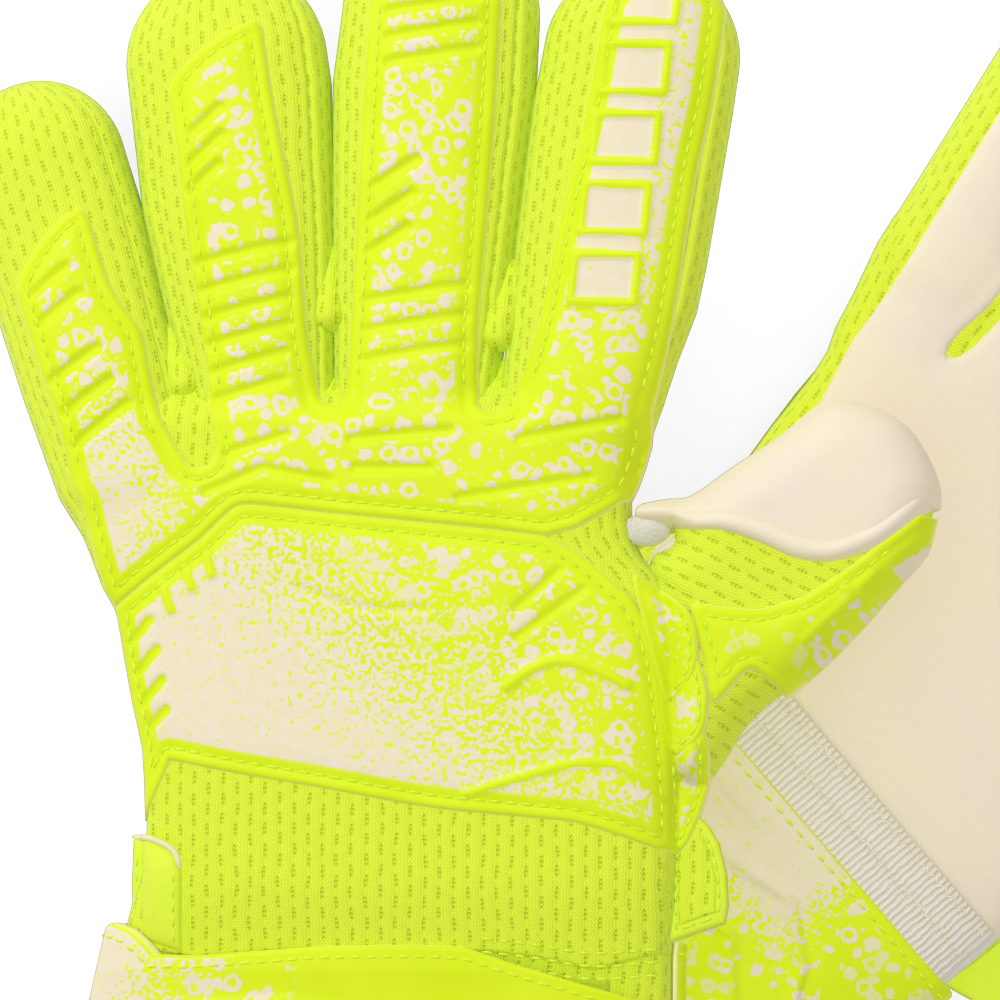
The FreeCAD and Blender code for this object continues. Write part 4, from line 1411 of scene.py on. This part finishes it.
def pillow(soup, poly, step, grow, thick, mat=0, edge_mat=0, dens=None, emboss=None, groove=0.0):
    """A panel wrapping the thumb's outer edge: one sheet over both faces."""
    pts = resample([tuple(q) for q in poly], 0.9)
    d = sdf(pts, TH_RING)
    e = 0.05
    gx = (sdf(pts + [e, 0], TH_RING) - sdf(pts - [e, 0], TH_RING)) / (2 * e)
    gy = (sdf(pts + [0, e], TH_RING) - sdf(pts - [0, e], TH_RING)) / (2 * e)
    g = np.stack([gx, gy], 1)
    g /= np.maximum(1e-6, np.hypot(gx, gy))[:, None]
    outer = d < 1.4
    pts[outer] -= g[outer] * (d[outer] + grow)[:, None]
    # drop points that bunch up after the move
    keep = [0]
    for i in range(1, len(pts)):
        if np.hypot(*(pts[i] - pts[keep[-1]])) > 0.35:
            keep.append(i)
    pts, outer = pts[keep], outer[keep]
    p, faces, ed_all, loop = tri_panel([tuple(q) for q in pts], step)
    inner_seg = ~(outer & np.roll(outer, -1))
    a, b = pts, np.roll(pts, -1, 0)
    ed = seg_dist(p, a[inner_seg], b[inner_seg])
    q = np.clip((sdf(p, TH_RING) + grow) / 11.0, 0, 1)
    H = (10.2 + thick) * np.sqrt(np.clip(1 - (1 - q) ** 2.3, 0, 1))
    H0 = np.maximum(0, thumb_h(p[:, 0], p[:, 1]))
    prof = np.sqrt(np.clip(1 - (1 - np.clip(ed / 1.3, 0, 1)) ** 2, 0, 1))
    h = H0 + (H - H0) * (0.3 + 0.7 * prof) + 0.5 * sm(ed / 6.0) * np.clip(H / 6.0, 0, 1)
    mark = np.zeros(len(p))
    if emboss is not None:
        e_, mark = emboss(p)
        h = h + e_ * sm(ed_all / 1.6) * np.clip(H / 6.0, 0, 1)
    if groove:
        h = h - 0.42 * np.exp(-((ed - groove) / 0.55) ** 2) * np.clip(H / 6.0, 0, 1)
    onouter = np.zeros(len(p), bool)
    for i in loop:
        if q[i] < 0.02:
            onouter[i] = True
    h[onouter] = 0.0
    h = np.maximum(h, 0.0)
    dn = np.zeros(len(p)) if dens is None else dens(p, ed)
    pat = np.column_stack([p, np.zeros(len(p))])
    for sg in (1, -1):
        z = 12.5 + sg * h
        f = faces if sg > 0 else [(x, w, y) for x, y, w in faces]
        soup.add(np.column_stack([p, z]), f, mat, pat + [0, 0, 0 if sg > 0 else 40.0], np.minimum(ed, ed_all + 30 * (ed > 5)), dn, mark * (sg > 0))
        n = len(loop)
        lp = p[loop]
        low = np.column_stack([lp, 12.5 + sg * np.maximum(0, thumb_h(lp[:, 0], lp[:, 1]) - 0.7)])
        up = np.column_stack([lp, z[loop]])
        sf = []
        for i in range(n):
            j = (i + 1) % n
            if onouter[loop[i]] and onouter[loop[j]]:
                continue
            t = (i, n + i, n + j, j)
            sf.append(t if sg > 0 else t[::-1])
        soup.add(np.concatenate([up, low]), sf, edge_mat, np.tile(pat[loop], (2, 1)), np.zeros(2 * n), np.tile(dn[loop], 2))
    return h


TB = ("hand", "thumb", (57.0, 4.0, 12.0), (73.0, 6.0, 12.0))


def thumb(side):
    # mesh stall, both faces
    s = Soup()
    ring = [tuple(p) for p in TH_OUT]
    p, faces, d, loop = tri_panel(ring, 0.9)
    zt, zb = thumb_top(p[:, 0], p[:, 1]) - 0.2, thumb_bot(p[:, 0], p[:, 1]) + 0.2
    # the outline is one closed edge: both faces meet there
    zt[loop] = zb[loop] = 12.5
    pat = np.column_stack([p[:, 0] * 0.45 + p[:, 1] * 0.9, -p[:, 0] * 0.9 + p[:, 1] * 0.45, np.zeros(len(p))])
    s.add(np.column_stack([p, zt]), faces, 0, pat)
    s.add(np.column_stack([p, zb]), [(a, c, b) for a, b, c in faces], 0, pat)
    # towelling lining showing at the root
    for k in range(9):
        a = k / 8.0
        c0 = np.array(px(637 + 5.0 * a, 526))
        ang = np.linspace(0, 2 * math.pi, 25)
        rxx, ryy = 0.4 + 3.8 * (1 - a), 0.3 + 2.4 * (1 - a)
        loop_ = np.column_stack([c0[0] + 1.2 + rxx * np.cos(ang), c0[1] + ryy * np.sin(ang), np.full(25, 16.6 + 2.2 * math.sqrt(a))])
        tube(s, loop_, 0.42, 1, 6, caps=False)
    s.build(side + "_thumb_mesh_stall", side, "thumb", "air_mesh", ["mesh", "bind"], replaces=("thumb_mesh",), blend=TB)
    # palm latex pad, wrapped round the upper edge onto both faces
    s = Soup()
    pad = pxs((640, 508), (664, 501), (690, 497), (730, 469), (768, 444), (800, 421), (823, 407), (840, 402), (866, 407), (893, 422), (911, 444), (924, 470), (929, 490), (926, 500), (905, 512), (875, 532), (855, 545), (834, 549), (807, 545), (770, 530), (740, 521), (707, 516), (672, 516), (644, 514))
    pad = [tuple(q) for q in smooth_poly(pad, True, 3)]
    pillow(s, pad, ST * 1.3, 1.4, 1.5)
    s.build(side + "_thumb_pad_latex", side, "thumb", "palm_latex", ["cream"], replaces=("thumb_palm_pad",), blend=TB)
    # rolled seam: a smooth bead of cream latex
    s = Soup()
    up = smooth_poly(pxs((633, 507), (660, 503), (690, 505), (724, 508), (770, 521), (807, 536), (834, 540), (875, 525), (900, 506), (924, 484)), False, 8)
    dn = smooth_poly(pxs((634, 517), (660, 521), (694, 528), (724, 530), (765, 544), (795, 557), (830, 561), (871, 549), (900, 530), (930, 503)), False, 8)
    mid = (up + dn) / 2
    wid = np.hypot(*(up - dn).T) / 2
    cross = np.linspace(0, math.pi, 13)
    P = np.zeros((len(mid), 13, 3))
    for i in range(len(mid)):
        for j, a in enumerate(cross):
            q = mid[i] + (up[i] - dn[i]) / 2 * math.cos(a) * 1.04
            base = thumb_top(np.array([q[0]]), np.array([q[1]]))[0]
            P[i, j] = (q[0], q[1], base - 0.5 + 3.3 * min(1, wid[i] / 1.6) * math.sin(a) ** 0.8)
    grid_surface(s, P, 0, P.copy(), flip=False)
    s.build(side + "_thumb_roll_edge", side, "thumb", "palm_latex", ["cream"], replaces=("thumb_roll",), blend=TB)
    # back panel of the thumb, printed, on both faces and round the outer edge
    s = Soup()
    back = pxs((692, 606), (725, 607), (761, 609), (785, 602), (807, 595), (848, 567), (871, 549), (900, 527), (924, 508), (925, 521), (916, 547), (886, 580), (860, 612), (829, 644), (806, 666), (785, 684), (770, 680), (756, 669), (746, 673), (736, 684), (716, 702), (706, 660))
    back = [tuple(q) for q in smooth_poly(back, True, 3)]
    em = emboss_from(feature([pxs((806, 640), (842, 606), (876, 572)), pxs((872, 562), (896, 578)), pxs((846, 588), (872, 600))], 0.7, 0.5))

    def dens_thumb(p, e):
        return np.maximum(0.10 + 0.30 * sm((p[:, 0] - 82) / 8.0), 0.98 * sm((p[:, 0] + 0.4 * p[:, 1] - 99.5) / 1.5))
    pillow(s, back, ST, 1.2, 1.5, 0, 1, dens=dens_thumb, emboss=em, groove=2.3)
    stitch_outline(s, back, 2.3, lambda x, y: 12.5 + (11.7 * np.sqrt(np.clip(1 - (1 - np.clip((sdf(np.column_stack([x, y]), TH_RING) + 1.2) / 11.0, 0, 1)) ** 2.3, 0, 1))), 0.0, 2, keep=lambda q: sdf(q, TH_RING) > 3.4)
    s.build(side + "_thumb_back_latex", side, "thumb", "printed_latex", ["print", "edge", "thread", "neon"], replaces=("thumb_back",), blend=TB)
    # bellows: three overlapping printed folds at the thumb's root
    s = Soup()
    folds = [
        pxs((634, 578), (650, 582), (672, 596), (692, 614), (700, 640), (699, 668), (686, 690), (668, 700), (650, 640)),
        pxs((664, 655), (690, 650), (704, 668), (711, 700), (708, 728), (694, 746), (672, 752), (660, 700)),
        pxs((668, 716), (700, 722), (711, 744), (709, 780), (700, 812), (686, 842), (672, 846), (668, 780)),
    ]
    for k, fo in enumerate(folds):
        poly = [tuple(q) for q in smooth_poly(fo, True, 4)]
        lift = 1.5 - 0.5 * k

        def zb_(x, y, lift=lift):
            return np.maximum(np.maximum(ztop(x, y) - 0.6, thumb_top(x, y)), 14.0) + lift
        drape(s, poly, ST, zb_, 1.7, 1, 0, 1, dens=lambda p, e: np.full(len(p), 0.47), puff=0.5, sink=2.2, groove=1.5, edge_add=1.9)
        stitch_outline(s, poly, 1.5, zb_, 1.5, 2, pitch=2.6, keep=lambda q: q[:, 0] > 57.5)
    s.build(side + "_thumb_bellows_folds", side, "hand", "printed_latex", ["print", "edge", "thread"], replaces=("thumb_bellows",), blend=TB)


for side in ("left", "right"):
    if side == "right":  # pressed a little narrower where it lies on the table
        F["little"] = Finger((-47.2, 24.5), (-68.5, 98.0), [(-14, 9.6), (-8, 11.6), (0, 12.6), (20, 13.0), (60, 14.0)], [(-14, 11.0), (0, 13.3), (20, 14.8), (48, 16.8), (60, 16.8)])
        PALM_CUT = palm_cuts()
    hand_shell(side)
    for nm in FING:
        finger_shell(side, nm)
        finger_back(side, nm)
        finger_palm(side, nm)
    palm(side)
    knuckle(side)
    lower_back(side)
    cuff(side)
    strap(side)
    wrist(side)
    thumb(side)

# ---------------------------------------------------------------- stage, light
w = bpy.data.worlds.new("studio")
bpy.context.scene.world = w
w.use_nodes = True
nt = w.node_tree
nt.nodes.clear()
out = nt.nodes.new("ShaderNodeOutputWorld")
bg = nt.nodes.new("ShaderNodeBackground")
bg.inputs[0].default_value = (1, 1, 1, 1)
bg.inputs[1].default_value = 1.1
soft = nt.nodes.new("ShaderNodeBackground")
soft.inputs[0].default_value = (1, 1, 1, 1)
soft.inputs[1].default_value = 0.64
lp = nt.nodes.new("ShaderNodeLightPath")
mixw = nt.nodes.new("ShaderNodeMixShader")
nt.links.new(lp.outputs["Is Camera Ray"], mixw.inputs[0])
nt.links.new(soft.outputs[0], mixw.inputs[1])
nt.links.new(bg.outputs[0], mixw.inputs[2])
nt.links.new(mixw.outputs[0], out.inputs[0])

fm = bpy.data.meshes.new("floor")
R_ = 2.5
fm.from_pydata([(-R_, -R_, -0.0004), (R_, -R_, -0.0004), (R_, R_, -0.0004), (-R_, R_, -0.0004)], [], [(0, 1, 2, 3)])
floor = bpy.data.objects.new("floor", fm)
bpy.context.scene.collection.objects.link(floor)
fmat = bpy.data.materials.new("floor_white")
fmat.use_nodes = True
fmat.node_tree.nodes["Principled BSDF"].inputs["Base Color"].default_value = (0.9, 0.9, 0.9, 1)
fmat.node_tree.nodes["Principled BSDF"].inputs["Roughness"].default_value = 0.9
fm.materials.append(fmat)
floor.is_shadow_catcher = True


def area_light(name, loc, size, energy):
    d = bpy.data.lights.new(name, "AREA")
    d.shape = "DISK"
    d.size = size
    d.energy = energy
    o = bpy.data.objects.new(name, d)
    o.location = loc
    d.use_shadow = False
    o.rotation_mode = "QUATERNION"
    o.rotation_quaternion = (Vector((0, 0, 0)) - Vector(loc)).to_track_quat("-Z", "Y")
    bpy.context.scene.collection.objects.link(o)


area_light("key", (-0.8, 0.95, 1.0), 0.5, 12.6)
area_light("fill", (0.9, -0.5, 1.2), 0.9, 2.5)

bpy.context.scene.view_settings.view_transform = "Standard"
bpy.context.scene.view_settings.look = "None"

cam_d = bpy.data.cameras.new("camera")
cam = bpy.data.objects.new("camera", cam_d)
bpy.context.scene.collection.objects.link(cam)
bpy.context.scene.camera = cam
cx, cy = (22.1 + SHIFT[0]) / 1000, (21.7 + SHIFT[1]) / 1000
DIST = 1.6
cam.location = (cx, cy, 0.040 + DIST)
cam.rotation_euler = (0, 0, 0)
cam_d.sensor_width = 36.0
cam_d.lens = 36.0 * DIST / 0.1887
cam_d.clip_start, cam_d.clip_end = 0.05, 20.0
